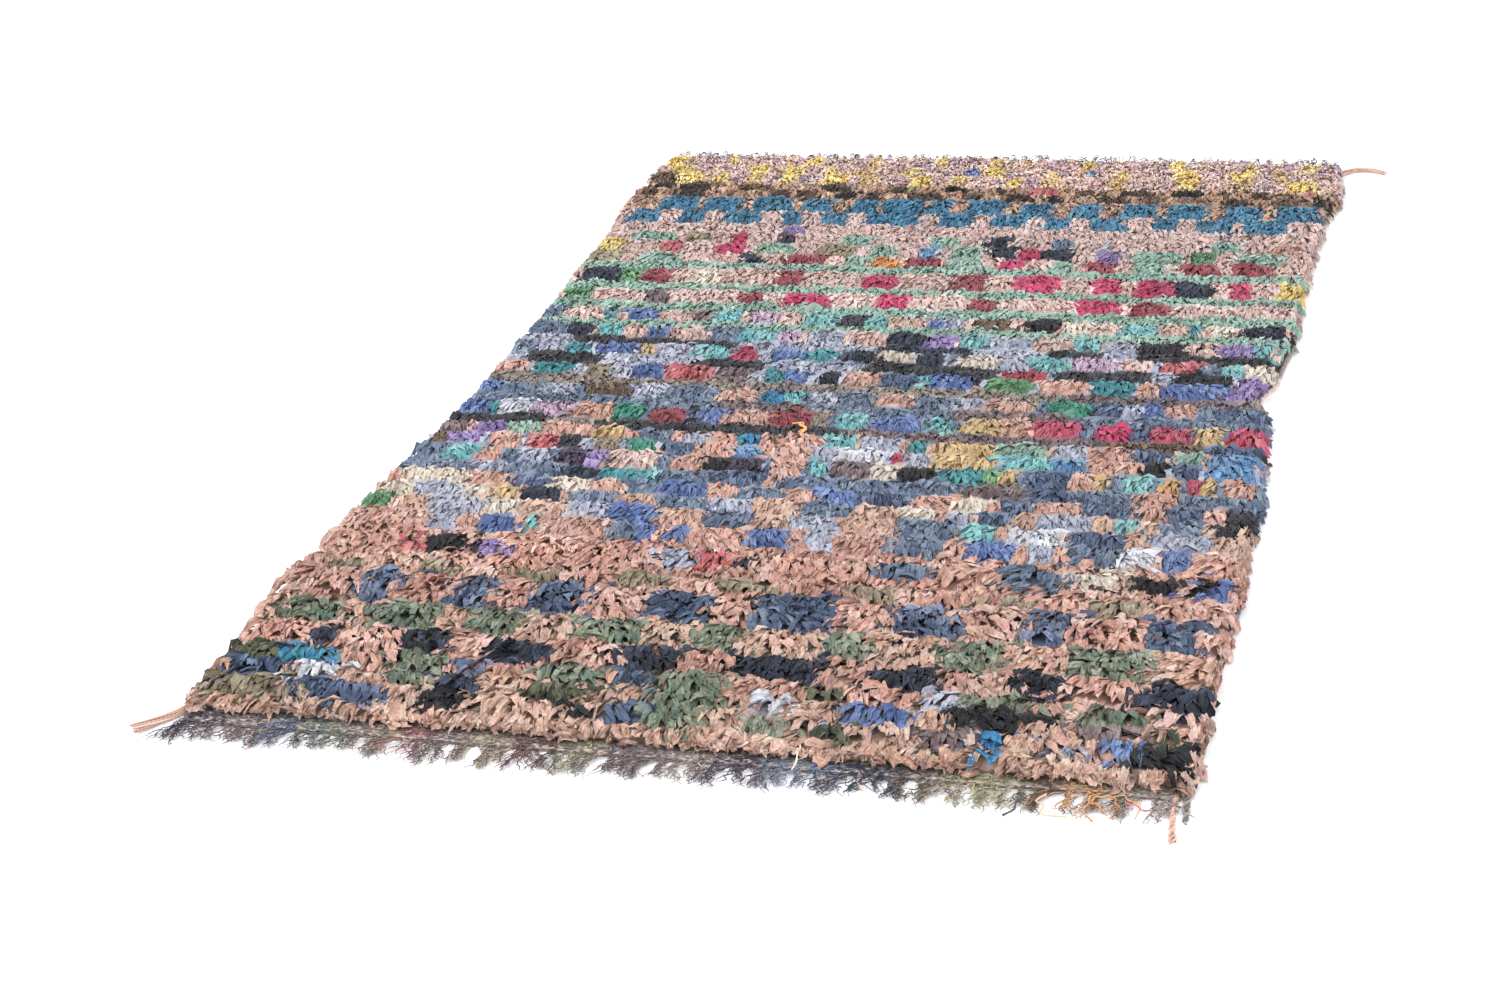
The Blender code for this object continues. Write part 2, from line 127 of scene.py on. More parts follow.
# The rows of the pile from the near end, in millimetres: the depth of a row, the height of
# its crest and its ground dye, then each dye of its blocks, as place:width. A crest of 0 is
# a thin row between blocks.
CHART = """
35 28 sand;
45 34 sand, khaki -660:170, denim -505:130 -65:70, black -330:80 -135:35 712:60, sage 15:90
    155:50, olive 250:60, mauve 400:70, azure 475:55, lilac 585:35, royal 650:45;
45 34 sand, denim -660:80, white -570:60 160:60, sage -420:80 15:110, navy -330:60,
    olive -175:110 720:40, royal 310:100, black 460:130, mauve 620:100;
45 34 peach, olive -690:80 210:60, azure -610:110, sage -420:90 -175:120 20:110 470:80 630:90,
    denim -325:50 -75:60, lilac 395:45;
65 36 peach, navy -590:50 -425:80 -265:80 -75:100 130:130 320:90 515:75 710:110;
80 36 sand, sage -650:100 -495:110 -340:85 -155:95 25:95 215:80 410:100 595:95;
97 36 peach, denim -575:75 -415:75 -265:90 -65:90 115:110 310:100 495:75 685:95;
40 33 peach, khaki -660:80 -495:80 -340:80 -160:90 20:80 215:80 420:90 590:90;
35 0 peach;
45 34 peach, coral -585:40 -60:60, black -515:90 630:80, purple -440:40, lilac -130:60,
    navy -5:25, slate 250:100 450:100, cream 540:80, royal 725:60;
30 0 peach;
55 33 peach, lilac -560:60 90:60 440:60, royal -460:70 -215:40 -150:45 0:80 370:60 655:70,
    aqua -405:30, slate -250:50 250:100 520:80, white 590:50;
55 33 sand, green -710:60, lilac -560:80 -330:80 60:70 650:80, cream -485:60, royal -245:80,
    slate -80:66 250:100, aqua 335:50, white 430:70, denim 520:80;
45 32 sand, cream -700:60 -555:60 230:60, lilac -625:90 -95:50 290:40 460:80, gold -500:30,
    navy -425:80, slate -335:90 -175:90 80:80 650:70, denim 355:60, aqua 560:40,
    charcoal 725:50;
45 32 peach, cream -640:130 -395:62 300:60, denim -470:80 150:100 367:66 515:86 645:60,
    slate -269:66 -50:80, royal -192:80 72:56, charcoal 725:50;
45 31 slate, slate -690:60, lilac -560:60, navy -400:60, teal -320:45, aqua -275:45,
    denim -120:90 150:60 420:60, peach -60:60 590:60, mauve 330:110;
60 32 slate, aqua -640:50 20:40 560:45, peach -580:50 -210:50 -40:70 465:40 715:40,
    lilac -500:60, plum -425:40 -110:55, purple -385:35, blush -310:80, black -165:25 195:70,
    mauve 75:70, cream 130:45, teal 265:55, green 305:36, gold 345:50 500:36 675:28,
    denim 410:60, apricot 608:30, raspberry 640:36;
50 31 lilac, brown -695:30, purple -650:60, peach -570:60 -190:70 -60:80 500:80, coral -505:40,
    charcoal -455:40, khaki -375:50, emerald -315:50, denim -250:60 630:50, sky -125:50 430:60
    695:70, white 80:80, raspberry 140:20, gold 260:100, aqua 360:80, black 570:40;
45 31 peach, mauve -690:60, purple -620:50, mint -560:60 350:80 625:50, gold -385:45 250:90,
    slate -300:60, lilac -220:40 110:80 428:60, azure -130:50, brown -90:30, aqua 30:60,
    teal 165:30, denim 560:65, sky 690:70;
30 0 charcoal, taupe -480:110, mauve 250:460, brown 560:140, denim 685:110;
60 32 slate, royal -685:70 -230:60 110:80, teal -640:20, white -600:60, orchid -530:80,
    peach -450:70 -160:70 312:45, emerald -385:50, garnet -310:60 -90:75, taupe -30:40,
    aqua 30:60 185:55, gold 252:80 645:50, raspberry 380:95 590:60 700:50, denim 435:40 535:40,
    pink 485:50;
30 0 slate, mauve -150:180 300:200;
55 31 slate, royal -690:60 530:36, lilac -550:60 -380:60 -40:50 220:60 500:36, brown -460:80,
    peach -215:60 80:60 292:80 580:65, azure -145:50, aqua -100:40, emerald 392:66, denim 460:60
    680:80;
30 0 taupe, mauve 540:300;
55 32 lilac, peach -680:80 0:60 365:90 520:50, teal -595:70 -165:30 455:70, khaki -500:50,
    royal -410:80 -135:60 155:90 595:110, coral -330:100, mauve -240:80, navy -60:40 205:30,
    denim 60:60, aqua 110:40, green 275:90, purple 690:60;
40 0 lilac, charcoal -590:140 -265:130 110:260 430:180, crimson 285:92, black 610:90,
    purple 700:50;
55 31 lilac, slate -700:60 610:30, teal -570:50 -105:60, royal -500:60 -170:50, gold -445:50,
    aqua -310:80 322:76 650:50, raspberry -245:60, navy -40:60 110:60, cream 40:70 195:70
    695:40, orchid 405:86, blush 480:60, coral 565:70;
25 0 lilac, charcoal -440:320 360:100 600:260, navy 90:180;
60 31 shell, slate -680:80 -310:60, navy -615:50 35:80, aqua -540:50 -245:70 170:40 380:60
    705:50, royal -450:50, shell -380:40, orchid -185:60, lilac -110:60 248:72 451:56,
    purple 100:60 635:70, black 510:80;
25 0 mint;
55 30 shell, slate -705:70, teal -570:30 560:30, royal -505:70 75:35, mauve -380:50,
    aqua -330:60 -150:60 -35:40 460:66, orchid -260:60, charcoal -85:70, lilac 115:40,
    brown 180:80, black 285:70, cream 350:60 610:60, navy 690:66;
35 0 mint;
60 31 blush, green -675:50, mauve -505:50, garnet -320:60 150:60 475:70, pink -205:70 -30:60
    365:90;
30 0 mint;
80 32 shell, navy -655:70 535:60, green -600:50, garnet -545:70 -255:70 105:70, cream -440:60,
    pink -75:70 225:90 360:60 465:70 620:40, yellow 715:50;
30 0 mint;
55 30 shell, khaki -690:80, mint -560:80 -150:60 80:60 260:60 440:60, navy -370:45,
    garnet -260:80 -15:70 345:70 535:70 630:80, orange -90:40, pink 165:50;
60 30 blush, yellow -690:60, coral -565:50, pink -435:50 195:50, mint -340:80 -110:60 60:60
    450:90 640:80, khaki -200:70, sky -25:50, navy 135:45 245:45, purple 350:50, green 530:50;
55 29 blush, mint -620:80 -180:60 0:60 560:60, khaki -520:60, pink -430:30, plum -330:30,
    navy 120:50, slate 240:40, lilac 330:40, peach 690:60;
55 28 blush, purple -330:25, navy 560:25;
60 32 blush, petrol -672:64 -572:64 -465:68 -352:64 -257:56 -172:60 -100:54 -5:74 110:68 220:68
    315:62 435:68 535:64 640:64;
80 33 rust, petrol -622:76 -520:70 -415:80 -310:68 -212:64 -125:84 -48:40 50:84 158:78 262:74
    362:78 470:82 580:78 680:72;
42 31 rust, umber -715:36 -610:60 -420:46 -205:56 -88:70 110:60 300:50 560:54, brown -540:30
    -352:30 12:34 395:56 650:46, black -262:40 185:34 480:30 715:26;
38 31 rust, black -695:50 -30:40 440:56, umber -620:56 -300:66 60:40 345:60 605:50,
    brown -480:40 -165:46 230:36 530:30, khaki -130:30, coral 150:46 690:30;
55 33 confetti, brown -700:50, yellow -648:56 -578:36 -425:42 -312:44 -132:40 -48:38 82:34
    438:44 680:44, gold -505:34 -238:34 158:40 300:32 555:36;
55 32 confetti, yellow -685:64 -500:34 -424:48 -340:26 -166:32 22:40 150:32 300:30 430:34
    545:40, gold -270:32 630:30, royal -20:18, sky 235:18, mint 700:24;
55 33 confetti, yellow -700:44 -580:26 -384:30 -100:28 20:34 220:28 410:26 690:30, gold -250:26
    90:26 560:30;
"""


def charted_row(text):
    """A row of the chart, in metres."""
    head, *groups = text.split(",")
    depth, crest, ground = head.split()
    blocks = []
    for group in groups:
        dye, *places = group.split()
        for place in places:
            x, width = place.split(":")
            blocks.append(Block(float(x) / 1000, dye, float(width) / 1000))
    return Row(float(depth) / 1000, float(crest) / 1000, ground, blocks)


ROWS = [charted_row(text) for text in CHART.split(";") if text.strip()]

# How the strips of rag look in each part of the pile: rows from and up to, strips for each
# square metre, strips in a tuft, width and length of one, depth of its pleats and how
# crumpled it is, how far a cushion leans from the nap, how far a tuft turns from that and
# the strips of a block fan out, how unevenly they lie, how much each is tilted against the
# next, how far they stray over the block's edge, the share of its height that a cushion
# loses at its edge, how dark the roots are painted (painted shade deep in the pile), a
# factor that darkens all its colours, the share of the crown's height that matted roots
# fill, and a strip's points across and along
Style = namedtuple(
    "Style",
    "name start stop density tuft width length pleat crumple lean turn fan uneven tilt stray"
    " groove root tone fill columns rings",
)
STYLES = (
    Style("rag_pile_near", 0, 11, 9500, 5, 0.0140, 0.042, 0.0012, 0.0009, 0.30, 0.26, 0.36,
          0.60, 0.20, 0.004, 0.21, 0.50, 0.94, 0.60, 5, 4),
    Style("rag_pile_middle_near", 11, 19, 26500, 4, 0.0094, 0.036, 0.0012, 0.0006, 0.34, 0.20,
          0.34, 0.6, 0.07, 0.005, 0.26, 0.80, 0.75, 0.88, 3, 3),
    Style("rag_pile_middle", 19, 29, 26500, 4, 0.0090, 0.034, 0.0012, 0.0006, 0.34, 0.20,
          0.34, 0.6, 0.07, 0.005, 0.26, 0.80, 0.73, 0.88, 3, 3),
    Style("rag_pile_middle_far", 29, 37, 26500, 4, 0.0086, 0.032, 0.0011, 0.0005, 0.32, 0.20,
          0.34, 0.6, 0.07, 0.005, 0.24, 0.80, 0.78, 0.88, 3, 3),
    Style("rag_pile_far", 37, 44, 25500, 4, 0.0082, 0.030, 0.0011, 0.0005, 0.32, 0.22,
          0.34, 0.6, 0.07, 0.005, 0.24, 0.80, 0.72, 0.88, 3, 3),
    Style("rag_pile_end", 44, 47, 36000, 5, 0.0060, 0.018, 0.0008, 0.0005, 0.30, 0.50,
          0.20, 0.9, 0.15, 0.004, 0.16, 0.80, 0.94, 0.82, 3, 3),
)
THIN_ROW_HEIGHT = 0.028
ROW_WAVE = 0.0045  # how far a row wavers along the rug
BLOCK_SHIFT = 0.0035  # how far a single cushion lies out of its row
BLOCK_EDGE = 0.006  # how unevenly a block ends at its sides
WILD_SHARE = 0.09  # of the strips, the ones that lie across the others
MOST_CELL = 0.16  # a stretch of ground longer than this is knotted as several cushions
USUAL_CELL = 0.10
NAP = 0.70  # how strongly the pile leans towards the near end
SPLAY = 0.13  # the turn from one strip of a tuft to the next
TUFT_PITCH = 0.45  # and their distance, as a share of the width
SIDE_GROOVE = 0.45  # how deep a block's sides are against its front and back
HIGHEST_TIP = 0.047
LOWEST_TIP = 0.0020
OVERHANG = (0.000, 0.010)  # how far the first row hangs over the near web
FRONT_SHIFT = 0.006  # how much nearer the first strips are rooted
FRONT_ZONE = 0.10  # how deep the zone is over which that fades
SIDE_ZONE = 0.016  # how near a side edge strips begin to lie outwards
SIDE_FAN = 0.60  # and how strongly
DROOP = 0.85  # the height that a strip has lost this far beyond a side of the ground
FRONT_DROOP = 0.60  # and beyond its near end
DROOP_REACH = 0.018
SIDE_REACH = 0.008  # how far the pile is rooted past the right edge, over the cord
BARE_EDGE = (0.020, 0.250)  # from and up to where, at the waist, the right cord lies bare
# How far inside a side edge a strip ends, from and up to. Below 0 it ends outside
LEFT_SPARE = (-0.008, 0.008)
RIGHT_SPARE = (-0.018, 0.004)
BARE_SPARE = 0.014  # how much further inside it ends where the cord lies bare
WILD_TURN = 0.8  # how far a strip that lies across the others is turned, in radians
WILD_LIFT = 0.0025  # and how far it is lifted
CROWN = 1.02  # height of a cushion's crown, as a share of its crest
DEEPEST_EDGE = 1.5  # how much of its groove a cushion has at the most
STEEPNESS = 1.9  # how soon a strip has come up out of its cushion
BACK_END = 0.010  # how far strips may reach beyond the far end

# How single strips differ. A pair is the least and the greatest
THIN_LEAN = 0.5  # how much of its cushion's lean a strip of a thin row has
UNEVEN_TURN = 0.12  # radians
REACH, EDGE_REACH = 0.62, 0.30  # share of the length that shows, and more at an edge
LENGTH_SPREAD = (0.72, 1.20)
WIDTH_SPREAD = (0.70, 1.25)
LIFT = (1.6, 0.09)  # shape of how high strips lie, and its scale for a width of 1
ROOT_DEPTH = (0.16, 0.50)  # how deep in its cushion a strip comes up
HEIGHT_NOISE = 0.0011
SWAY = 0.13  # how far a strip bends sideways, for a length of 1
TILT_SPREAD = (0.4, 1.8)
TWIST = 0.9  # how far it is twisted along its length, for a tilt of 1
TIP_WIDTH = (0.40, 0.95)
SLANT = 0.40  # how slanted the cut at its tip is, for a width of 1
NOTCH = (-0.20, 0.15)  # and how far that bulges
SHADE_SPREAD = (-0.09, 0.08)
# Painted shade: a strip rooted at its cushion's edge, in the groove between cushions, is darkened
# by this much
EDGE_PAINTED_SHADE = 0.06  # how much darker a strip at its cushion's edge is
STREAKS, TINTS = 0.05, 0.02  # how much the colour differs along and between strips

# The share of red, green and blue in a colour's grey, and how far the strongest dyes have
# faded towards it
LUMINANCE = np.array((0.2126, 0.7152, 0.0722))
FADING = 0.16


def srgb_to_linear(value):
    return np.where(value <= 0.04045, value / 12.92, ((value + 0.055) / 1.055) ** 2.4)


def shades_of(dye):
    """The dye's shades as linear colours, the strong ones washed out the most."""
    rows = [[int(code[k : k + 2], 16) / 255 for k in (0, 2, 4)] for code in DYES[dye].split()]
    shades = srgb_to_linear(np.array(rows))
    strength = 1 - shades.min(1, keepdims=True) / shades.max(1, keepdims=True)
    grey = shades @ LUMINANCE
    return shades + (grey[:, None] - shades) * strength * FADING


SHADES = {dye: shades_of(dye) for dye in DYES}


def any_shade(dye, count=None):
    """A shade of the dye, taken at random, or count of them."""
    shades = SHADES[dye]
    return shades[draw.integers(0, len(shades), count)]


def side_edges(y):
    """x of the left and the right edge at y, eased between the stations."""
    table = np.array(SIDE_STATIONS)
    y = np.clip(y, table[0, 0], table[-1, 0])
    k = np.clip(np.searchsorted(table[:, 0], y) - 1, 0, len(table) - 2)
    share = (y - table[k, 0]) / (table[k + 1, 0] - table[k, 0])
    share = share * share * (3 - 2 * share)
    left = table[k, 1] + (table[k + 1, 1] - table[k, 1]) * share
    right = table[k, 2] + (table[k + 1, 2] - table[k, 2]) * share
    return left, right


def skewed(x, station):
    """y of a point of a row, from its x and its station along the rug's middle."""
    left, right = side_edges(station)
    return station + END_SKEW * ((x - left) / (right - left) - 0.5)


def lerp(ends, share):
    return ends[0] + (ends[1] - ends[0]) * share


# One cushion of the pile: its extent, the height of its crest, its dye and its own shade
Cell = namedtuple("Cell", "x0 x1 s0 s1 crest dye shade thin")
LEAST_BLOCK = 0.012  # a block narrower than this is left out
LEAST_CELL = 0.006  # and so is a stretch of ground narrower than this
WAVE_PITCH = (0.30, 0.55)  # the least and the greatest length of a row's waves
CELL_SHADE = (0.90, 1.08)  # how dark and how bright a cushion can be


def spans_of(row, left, right):
    """The stretches of a row from edge to edge, each with its two ends and its dye."""
    spans = []
    reached = left
    for block in sorted(row.blocks):
        x0 = max(block.x - block.width / 2 + draw.normal(0, BLOCK_EDGE), reached)
        x1 = min(block.x + block.width / 2 + draw.normal(0, BLOCK_EDGE), right)
        if x1 - x0 >= LEAST_BLOCK:
            spans += [(reached, x0, row.ground), (x0, x1, block.dye)]
            reached = x1
    return spans + [(reached, right, row.ground)]


def cells_of(row, start):
    """The cushions of a row, its blocks and the stretches of ground between them."""
    stop = start + row.depth
    left, right = (float(v) for v in side_edges((start + stop) / 2))
    if not BARE_EDGE[0] < start < BARE_EDGE[1]:
        right += SIDE_REACH
    wave = draw.uniform(0, math.tau)
    pitch = draw.uniform(*WAVE_PITCH)
    crest = row.crest or THIN_ROW_HEIGHT
    cells = []
    for x0, x1, dye in spans_of(row, left, right):
        if x1 - x0 < LEAST_CELL:
            continue
        parts = 1 if x1 - x0 <= MOST_CELL else round((x1 - x0) / USUAL_CELL)
        for k in range(parts):
            a = x0 + (x1 - x0) * k / parts
            b = x0 + (x1 - x0) * (k + 1) / parts
            shade = draw.uniform(*CELL_SHADE)
            shift = ROW_WAVE * math.sin(wave + math.tau * (a + b) / 2 / pitch)
            shift += draw.uniform(-BLOCK_SHIFT, BLOCK_SHIFT)
            cell = Cell(a, b, start + shift, stop + shift, crest, dye, shade, not row.crest)
            cells.append(cell)
    return cells


CELLS = []
station = -LENGTH / 2
for each_row in ROWS:
    CELLS.append(cells_of(each_row, station))
    station += each_row.depth


def cell_at(x, s):
    """The cushion over a place of the ground, and the style of its row."""
    reached = -LENGTH / 2
    for index, row in enumerate(ROWS):
        reached += row.depth
        if s < reached:
            break
    cell = next((cell for cell in CELLS[index] if x < cell.x1), CELLS[index][-1])
    return cell, next(style for style in STYLES if index < style.stop)


def new_mesh(name, points, quads, colours, smooth=False, places=None):
    """A mesh object of quads with a colour for each point. places gives each point's place
    in the map that a bake uses."""
    points, colours = np.reshape(points, (-1, 3)), np.reshape(colours, (-1, 3))
    mesh = bpy.data.meshes.new(name)
    mesh.vertices.add(len(points))
    mesh.vertices.foreach_set("co", points.astype(np.float32).ravel())
    mesh.loops.add(quads.size)
    mesh.loops.foreach_set("vertex_index", quads.ravel().astype(np.int32))
    mesh.polygons.add(len(quads))
    mesh.polygons.foreach_set("loop_start", np.arange(0, quads.size, 4, dtype=np.int32))
    mesh.update(calc_edges=True)
    mesh.polygons.foreach_set("use_smooth", np.full(len(quads), smooth))
    dyes = mesh.attributes.new("Dye", "FLOAT_COLOR", "POINT")
    rgba = np.ones((len(points), 4), np.float32)
    rgba[:, :3] = colours
    dyes.data.foreach_set("color", rgba.ravel())
    if places is not None:
        layer = mesh.uv_layers.new(name="OFBake")
        layer.data.foreach_set("uv", places[quads.ravel()].astype(np.float32).ravel())
    obj = bpy.data.objects.new(name, mesh)
    bpy.context.scene.collection.objects.link(obj)
    return obj


def grid_quads(count, rings, columns, closed=False):
    """The quads of count grids of rings by columns points, or of tubes when closed."""
    first = (np.arange(count) * rings * columns)[:, None, None]
    ring = (np.arange(rings - 1) * columns)[None, :, None]
    k = np.arange(columns if closed else columns - 1)
    a = first + ring + k
    b = first + ring + (k + 1) % columns
    return np.stack([a, b, b + columns, a + columns], -1).reshape(-1, 4)


def grids_mesh(name, points, colours, closed=False):
    """Many like grids as one mesh, smooth tubes when closed. points is grid, ring, column
    and xyz. Each grid has a cell of its own in a square map."""
    count, rings, columns = points.shape[:3]
    wide = math.ceil(math.sqrt(count * 2))
    high = math.ceil(count / wide)
    index = np.arange(count)[:, None, None]
    u = index % wide + 0.10 + 0.80 * np.linspace(0, 1, columns)[None, None]
    v = index // wide + 0.06 + 0.88 * np.linspace(0, 1, rings)[None, :, None]
    u, v = np.broadcast_arrays(u, v)
    places = np.stack([u / wide, v / high], -1).reshape(-1, 2)
    quads = grid_quads(count, rings, columns, closed)
    return new_mesh(name, points, quads, colours, closed, places)


def unit(vectors):
    return vectors / np.maximum(np.linalg.norm(vectors, axis=-1, keepdims=True), 1e-9)


def sow(cells, style):
    """Root, cushion, lean and colour of every strip, with the tufts spread evenly over
    their cushions and one colour to a tuft."""
    x, s, half, middle, crest, thin, lean, colour = parts = [[] for _ in range(8)]
    for cell in cells:
        wide, deep = cell.x1 - cell.x0, cell.s1 - cell.s0
        wanted = style.density * wide * deep / style.tuft
        lines = max(1, round(math.sqrt(wanted * deep / wide)))
        columns = max(1, round(wanted / lines))
        count = lines * columns
        k = np.arange(count)
        x.append(cell.x0 + wide * (k % columns + draw.uniform(0.1, 0.9, count)) / columns)
        s.append(cell.s0 + deep * (k // columns + draw.uniform(0.1, 0.9, count)) / lines)
        half.append(np.tile([wide / 2, deep / 2], (count, 1)))
        middle.append(np.tile([(cell.x0 + cell.x1) / 2, (cell.s0 + cell.s1) / 2], (count, 1)))
        crest.append(np.full(count, cell.crest))
        thin.append(np.full(count, cell.thin))
        lean.append(draw.normal(draw.normal(0, style.lean), style.turn, count))
        mean = SHADES[cell.dye].mean(0)
        picked = lerp((mean, any_shade(cell.dye, count)), 0.45 + 0.55 * style.uneven)
        colour.append(picked * cell.shade * style.tone)
    return [np.repeat(np.concatenate(part), style.tuft, axis=0) for part in parts]


def across_edge(x, s, half, middle, thin):
    """How far out of a cushion's middle a place is, along x and along the rug, each from
    -1 to 1 at its rounded edge. A long cushion is level except near its ends."""
    away = x - middle[:, 0]
    zone = np.minimum(half[:, 0], half[:, 1] * 1.5)
    lean_x = np.sign(away) * np.maximum(0, np.abs(away) - half[:, 0] + zone) / zone
    lean_y = (s - middle[:, 1]) / half[:, 1]
    return lean_x, np.where(thin, 0.3 * lean_y, lean_y)


def lay_strips(style, x, s, half, middle, crest, thin, lean):
    """The middle line of every strip, its heading, its width and how near its cushion's edge
    it is rooted. It comes up out of its cushion and then lies down along the crown."""
    count = len(x)
    place = np.arange(count) % style.tuft - (style.tuft - 1) / 2
    lean_x, lean_y = across_edge(x, s, half, middle, thin)
    edge = np.clip(np.hypot(lean_x, lean_y), 0, 1)
    left, right = side_edges(s)
    beside = np.clip((x - right) / SIDE_ZONE + 1, 0, 1.5)
    beside = beside - np.clip((left - x) / SIDE_ZONE + 1, 0, 1.5)
    along_nap = np.arctan2(
        0.55 * (0.4 + style.fan) * lean_y - NAP, style.fan * lean_x + SIDE_FAN * beside
    )
    turned = lean * np.where(thin, THIN_LEAN, 1.0) + SPLAY * place
    turned += draw.normal(0, UNEVEN_TURN * style.uneven, count)
    wild = draw.random(count) < WILD_SHARE
    turned += wild * draw.normal(0, WILD_TURN, count)
    heading = np.stack([np.cos(along_nap + turned), np.sin(along_nap + turned)], -1)
    aside = TUFT_PITCH * style.width * place
    x = x - heading[:, 1] * aside + draw.normal(0, style.stray, count)
    s = s + heading[:, 0] * aside + draw.normal(0, style.stray * 0.8, count)
    s = s - FRONT_SHIFT * np.clip(1 - (s + LENGTH / 2) / FRONT_ZONE, 0, 1)
    reach = style.length * (REACH + EDGE_REACH * edge) * draw.uniform(*LENGTH_SPREAD, count)
    width = style.width * draw.uniform(*WIDTH_SPREAD, count)
    lift = draw.gamma(LIFT[0], style.width * LIFT[1] * style.uneven, count)
    lift += wild * WILD_LIFT
    depth = draw.uniform(*ROOT_DEPTH, count)

    along = np.linspace(0, 1, style.rings)
    y = skewed(x, s)
    nearest = -LENGTH / 2 - draw.uniform(*OVERHANG, count)
    path = np.empty((count, style.rings, 3))
    for k, t in enumerate(along):
        px = x + heading[:, 0] * reach * t
        ps = np.clip(s + heading[:, 1] * reach * t, nearest, LENGTH / 2 + BACK_END)
        out_x, out_y = across_edge(px, ps, half, middle, thin)
        fall = np.clip(SIDE_GROOVE * out_x**2 + out_y**2, 0, DEEPEST_EDGE)
        sunk = depth * (1 - min(1.0, t * STEEPNESS))
        path[:, k, 0] = px
        path[:, k, 1] = y + ps - s
        path[:, k, 2] = crest * (CROWN - style.groove * fall) * (1 - sunk)
        path[:, k, 2] += lift * math.sin(math.pi * min(t * 1.1, 1))
    path[:, :, 2] += draw.normal(0, HEIGHT_NOISE * style.uneven, (count, 1)) * (0.3 + along)
    sway = draw.normal(0, SWAY, (count, 1)) * style.length * along**2
    path[:, :, 0] += -heading[:, 1:] * sway
    path[:, :, 1] += heading[:, :1] * sway
    furthest_left = (left + draw.uniform(*LEFT_SPARE, count))[:, None]
    bare = (y > BARE_EDGE[0]) & (y < BARE_EDGE[1])
    furthest_right = (right - draw.uniform(*RIGHT_SPARE, count) - BARE_SPARE * bare)[:, None]
    path[:, :, 0] = np.clip(path[:, :, 0], furthest_left, furthest_right)
    beyond_side = np.maximum(path[:, :, 0] - right[:, None], left[:, None] - path[:, :, 0])
    beyond_front = -LENGTH / 2 - (path[:, :, 1] - (y - s)[:, None])
    path[:, :, 2] *= 1 - DROOP * np.clip(beyond_side / DROOP_REACH, 0, 1)
    path[:, :, 2] *= 1 - FRONT_DROOP * np.clip(beyond_front / DROOP_REACH, 0, 1)
    return path, heading, width, edge


def cut_strips(style, path, heading, width):
    """The points of every strip: a pleated and crumpled sheet along its path, tilted against
    the next one, and cut aslant."""
    count, rings, columns = len(path), style.rings, style.columns
    along, across = np.linspace(0, 1, rings), np.linspace(-1, 1, columns)
    tangent = unit(np.gradient(path, axis=1))
    flat_side = np.zeros_like(path)
    flat_side[:, :, 0] = -heading[:, 1:]
    flat_side[:, :, 1] = heading[:, :1]
    normal = unit(np.cross(flat_side, tangent))
    side = np.cross(tangent, normal)
    odd = np.arange(count) % style.tuft % 2
    roll = np.where(odd, style.tilt, -style.tilt) * draw.uniform(*TILT_SPREAD, count)
    roll = roll[:, None] + draw.normal(0, TWIST * style.tilt, (count, 1)) * along
    roll = roll[:, :, None]
    side, normal = (
        side * np.cos(roll) + normal * np.sin(roll),
        normal * np.cos(roll) - side * np.sin(roll),
    )

    tip = draw.uniform(*TIP_WIDTH, (count, 1))
    shape = np.interp(along, (0, 0.3, 0.7, 1), (0.70, 1.0, 1.0, 0.0))
    shape = shape[None] + np.interp(along, (0, 0.7, 1), (0, 0, 1))[None] * tip
    spread = width[:, None] * shape / 2
    last = along > 0.99
    slant = draw.normal(0, SLANT, (count, 1)) * width[:, None] * last
    notch = draw.uniform(*NOTCH, (count, 1)) * width[:, None] * last
    cut = slant[:, :, None] * across + notch[:, :, None] * (1 - across**2)
    pleats = draw.normal(0, style.pleat, (count, 1, columns))
    pleats = pleats + style.pleat * np.where(np.arange(columns) % 2, 1.0, -1.0)
    pleats = pleats * np.interp(along, (0, 0.2, 1), (0.5, 1, 0.8))[None, :, None]
    points = (
        path[:, :, None]
        + side[:, :, None] * (spread[:, :, None] * across)[..., None]
        + normal[:, :, None] * pleats[..., None]
        + tangent[:, :, None] * cut[..., None]
    )
    points[:, 1:] += draw.normal(0, style.crumple, points[:, 1:].shape)
    points[..., 2] = np.clip(points[..., 2], LOWEST_TIP, HIGHEST_TIP)
    return points


def dye_strips(style, colour, edge):
    """The colour of every point of the strips: painted shade, darker at the root and at a
    cushion's edge, and streaked.
    """
    count = len(colour)
    along = np.linspace(0, 1, style.rings)
    # Painted shade: a strip is dark at its root, deep in the pile, and a little brighter at its
    # tip
    shade = np.interp(along, (0, 0.40, 1), (style.root, 0.99, 1.02))[None]
    # Painted shade darkens a strip rooted at its cushion's edge, in the groove between cushions
    shade = shade * (1 - EDGE_PAINTED_SHADE * edge**3)[:, None]
    shade = shade * (1 + draw.uniform(*SHADE_SPREAD, (count, 1)) * style.uneven)
    streak = draw.normal(1, STREAKS, (count, 1, style.columns))
    tint = colour * (1 + draw.normal(0, TINTS, (count, 3)))
    dyes = tint[:, None, None] * (shade[:, :, None] * streak)[..., None]
    return np.clip(dyes, 0, 1)


def grow_strips(style):
    """The strips of rag of some rows of the pile, as one mesh."""
    cells = [cell for row in CELLS[style.start : style.stop] for cell in row]
    *sown, colour = sow(cells, style)
    path, heading, width, edge = lay_strips(style, *sown)
    points = cut_strips(style, path, heading, width)
    return grids_mesh(style.name, points, dye_strips(style, colour, edge))


CORE_COLUMNS, CORE_LINES = 96, 150
CORE_GROOVE = 0.20
CORE_INSET = 0.003  # how far inside the side edges it ends
CORE_FRONT, CORE_BACK = 0.010, 0.002  # and inside the near and the far end
CORE_RIM = 0.004  # height of its rim
CORE_LUMPS = 0.0022
# Painted shade: the roots under the strips are darker than the strips, by a random share
CORE_PAINTED_SHADE = (0.72, 0.96)


